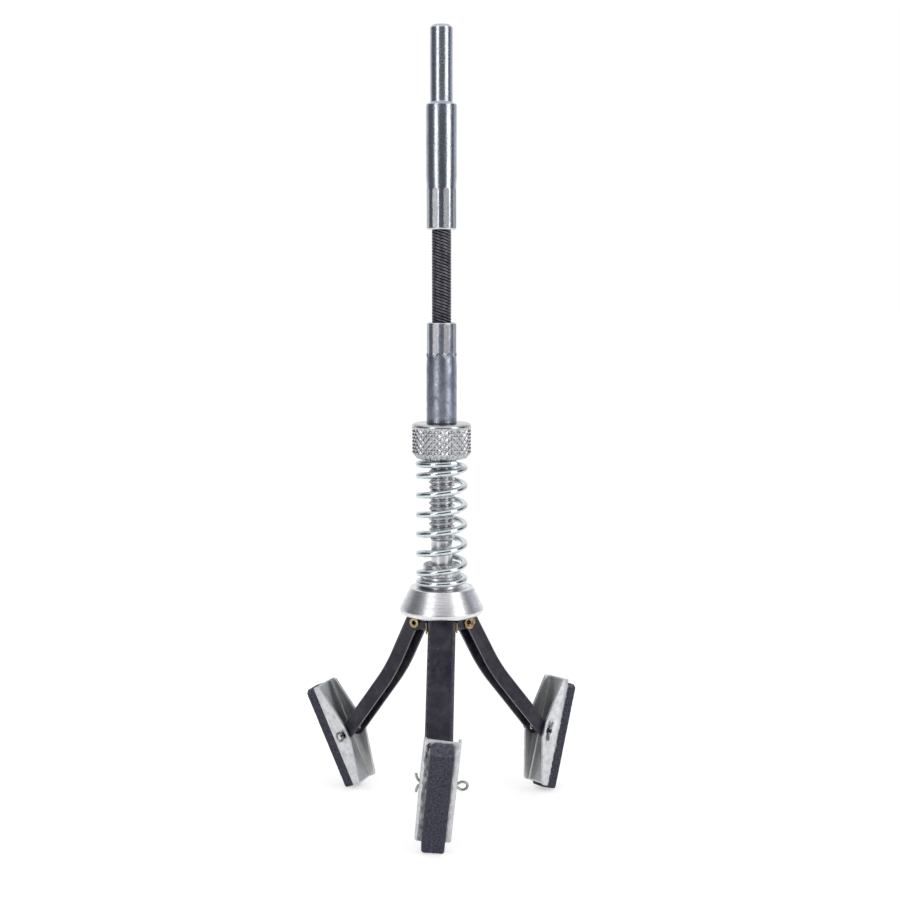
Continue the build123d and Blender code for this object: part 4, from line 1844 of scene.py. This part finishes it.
@dataclass
class SplitPin(Leg):
    """The cotter pin that holds the shoe; its tails are in millimetres beyond the holder."""

    wire: float = mm(0.36)
    eye: float = mm(1.28)
    eye_gap: float = mm(0.35)
    eye_open: float = 140.0
    eye_steps: int = 10
    reach: float = mm(4.8)
    bend_start: float = mm(0.4)
    bend_end: float = mm(0.1)
    upper_tail: tuple[Pair, ...] = ((1.05, 2.7), (0.95, 1.9), (0.5, 1.0))
    lower_tail: tuple[Pair, ...] = ((0.35, -1.0), (0.6, -1.9), (0.65, -2.8))
    wire_resolution: int = 4
    route_resolution: int = 6

    def route(self) -> list[tuple[float, float]]:
        """Middle line of the wire, along the pin and across it: tail, shank, eye, shank, tail.

        Returns:
            Distance along the pin and rise across it, for each point.
        """
        upper = [(-self.reach - mm(out), mm(rise)) for out, rise in self.upper_tail]
        lower = [(-self.reach - mm(out), mm(rise)) for out, rise in self.lower_tail]
        shank = (-self.reach, 0.0, self.reach - self.bend_start, self.reach + self.bend_end)
        middle = self.reach + self.eye + self.eye_gap
        loop = []
        for step in range(self.eye_steps + 1):
            angle = radians(self.eye_open * (1 - 2 * step / self.eye_steps))
            loop.append((middle + self.eye * cos(angle), self.eye * sin(angle)))
        there = [(along, self.wire) for along in shank]
        back = [(along, -self.wire) for along in reversed(shank)]
        return upper + there + loop + back + lower

    def build(self) -> None:
        """Bend the cotter pin from one wire."""
        curve = bpy.data.curves.new(self.own("cotter_route"), "CURVE")
        curve.dimensions = "3D"
        curve.bevel_depth = self.wire
        curve.bevel_resolution = self.wire_resolution
        curve.use_fill_caps = True
        curve.resolution_u = self.route_resolution
        spline = curve.splines.new("NURBS")
        route = self.route()
        spline.points.add(len(route) - 1)
        matrix = self.shoe_matrix()
        side = 1 if self.across.dot(self.face.cross(self.up)) > 0 else -1
        for point, (along, rise) in zip(spline.points, route):
            point.co = (*(matrix @ Vector((0, rise, side * along))), 1.0)
        spline.use_endpoint_u = True
        spline.order_u = 4
        holder = bpy.data.objects.new(curve.name, curve)
        bm = bmesh.new()
        bm.from_mesh(bpy.data.meshes.new_from_object(holder))
        bpy.data.objects.remove(holder)
        clean(bm, WELD)
        name, node = self.own("split_pin"), self.own("cotter_pin")
        Piece(name, self.own("pin"), COTTER_WIRE, (node,)).build(bm)


@dataclass
class Softbox:
    """A tall soft lamp beside the camera; its azimuth is from the camera's side."""

    name: str
    azimuth: float
    width: float
    distance: float = 1.0
    height: float = 1.24
    radiance: float = 1.5

    def build(self) -> None:
        """Stand the lamp on the floor and turn it to the hone."""
        data = bpy.data.lights.new(self.name, "AREA")
        data.shape = "RECTANGLE"
        data.size = self.width
        data.size_y = self.height
        data.energy = self.radiance * pi * self.width * self.height
        lamp = new_object(self.name, data)
        angle = radians(self.azimuth)
        spot = Vector((sin(angle), -cos(angle), 0)) * self.distance
        lamp.location = spot + Vector((0, 0, GROUND + self.height / 2))
        lamp.rotation_mode = "QUATERNION"
        lamp.rotation_quaternion = (-spot).to_track_quat("-Z", "Y")


@dataclass(frozen=True)
class Flag:
    """A grey studio flag that the metal mirrors; azimuths are from the camera's side."""

    name: str
    start: float
    end: float
    low: float
    high: float
    grey: float
    distance: float = 0.5
    steps: int = 24
    red: float = 0.97
    blue: float = 1.08

    def shade(self, tree: Tree) -> Node:
        """Build a cool grey glow."""
        cloth = colour(self.grey * self.red, self.grey, self.grey * self.blue)
        return tree.add("Emission", {"Color": cloth})

    def build(self) -> None:
        """Stand the flag round the hone, seen only in reflections."""
        bm = bmesh.new()
        ends = [bm.verts.new((0, -self.distance, height)) for height in (self.low, self.high)]
        bm.edges.new(ends)
        bmesh.ops.rotate(
            bm, verts=bm.verts, cent=(0, 0, 0), matrix=Matrix.Rotation(radians(self.start), 3, "Z")
        )
        sweep(bm, bm.verts[:] + bm.edges[:], radians(self.end - self.start), self.steps)
        flag = new_object(self.name, new_mesh(self.name, bm))
        material = new_material(self.name, self.shade)
        material.cycles.emission_sampling = "NONE"
        flag.data.materials.append(material)
        flag.visible_camera = False
        flag.visible_diffuse = False
        flag.visible_shadow = False
        flag.visible_transmission = False


@dataclass
class Studio:
    """Floor, lamps, flags, background and camera."""

    camera_distance: float = mm(396.03)
    camera_height: float = mm(146.1)
    camera_tilt: float = 6.536
    camera_pan: float = 0.329
    lens: float = 58.39
    floor_size: float = 6.0
    floor_lift: float = 0.5
    paper: Colour = colour(0.86, 0.86, 0.86)
    fill: Colour = colour(0.62, 0.62, 0.62)
    flag_gap: float = 0.001
    flag_top: float = 0.43
    flag_high: float = 0.6

    def build(self) -> None:
        """Set up the studio."""
        self.build_world()
        self.build_floor()
        self.build_camera()
        Softbox("key_left", -40.0, width=0.4).build()
        Softbox("key_right", 56.0, width=0.53).build()
        low = GROUND + self.flag_gap
        top = GROUND + self.flag_top
        high = GROUND + self.flag_high
        Flag("flag_front", -29.0, 42.0, low, top, grey=0.08).build()
        Flag("flag_left", -114.0, -50.0, low, top, grey=0.1).build()
        Flag("flag_right", 70.0, 106.0, low, top, grey=0.1).build()
        Flag("flag_left_high", -114.0, -50.0, top, high, grey=0.5).build()
        Flag("flag_right_high", 70.0, 106.0, top, high, grey=0.5).build()
        Flag("flag_left_back", -138.0, -114.0, low, high, grey=0.6).build()
        Flag("flag_right_back", 106.0, 138.0, low, high, grey=0.6).build()

    def build_world(self) -> None:
        """White for what is seen or mirrored, and a plain soft fill for the rest."""
        world = bpy.data.worlds.new("studio")
        world.use_nodes = True
        bpy.context.scene.world = world
        tree = Tree(world.node_tree)
        shade = tree.blend(tree.seen(), self.fill, WHITE)
        background = tree.add("Background", {"Color": shade, "Strength": 1.0})
        tree.add("OutputWorld", {"Surface": background.outputs[0]})

    def shade_floor(self, tree: Tree) -> Node:
        """Build a pale paper that glows where it is seen.

        Args:
            tree: The tree to build it in.

        Returns:
            The shader node.
        """
        paper = tree.add("BsdfDiffuse", {"Color": self.paper})
        lift = tree.math("MULTIPLY", tree.seen(), self.floor_lift)
        glow = tree.add("Emission", {"Color": WHITE, "Strength": lift})
        return tree.add("AddShader", {0: paper.outputs[0], 1: glow.outputs[0]})

    def build_floor(self) -> None:
        """Lay a plain pale floor that keeps a soft shadow."""
        bm = bmesh.new()
        bmesh.ops.create_grid(
            bm, x_segments=1, y_segments=1, size=self.floor_size,
            matrix=Matrix.Translation((0, 0, GROUND)),
        )
        floor = new_object("floor", new_mesh("floor", bm))
        floor.data.materials.append(new_material("floor_white", self.shade_floor))

    def build_camera(self) -> None:
        """Stand the camera where the photograph was taken from."""
        data = bpy.data.cameras.new("camera")
        data.sensor_fit = "HORIZONTAL"
        data.lens = self.lens
        camera = new_object("camera", data)
        camera.location = (0, -self.camera_distance, GROUND + self.camera_height)
        tilt = radians(self.camera_tilt)
        pan = radians(self.camera_pan)
        ahead = Vector((cos(tilt) * sin(pan), cos(tilt) * cos(pan), -sin(tilt)))
        camera.rotation_mode = "QUATERNION"
        camera.rotation_quaternion = ahead.to_track_quat("-Z", "Y")
        bpy.context.scene.camera = camera
        bpy.context.scene.view_settings.view_transform = "Standard"


def main() -> None:
    """Build the hone and its studio."""
    logging.basicConfig(level=logging.INFO)
    for part in (DriveEnd, FlexShaft, Spindle, AdjustingNut, TensionSpring, ConeCollar, Yoke):
        part().build()
    for number in LEGS:
        for part in (Arm, Rivet, Holder, Stone, Glue, SplitPin):
            part(number).build()
    Studio().build()


if __name__ == "__main__":
    main()
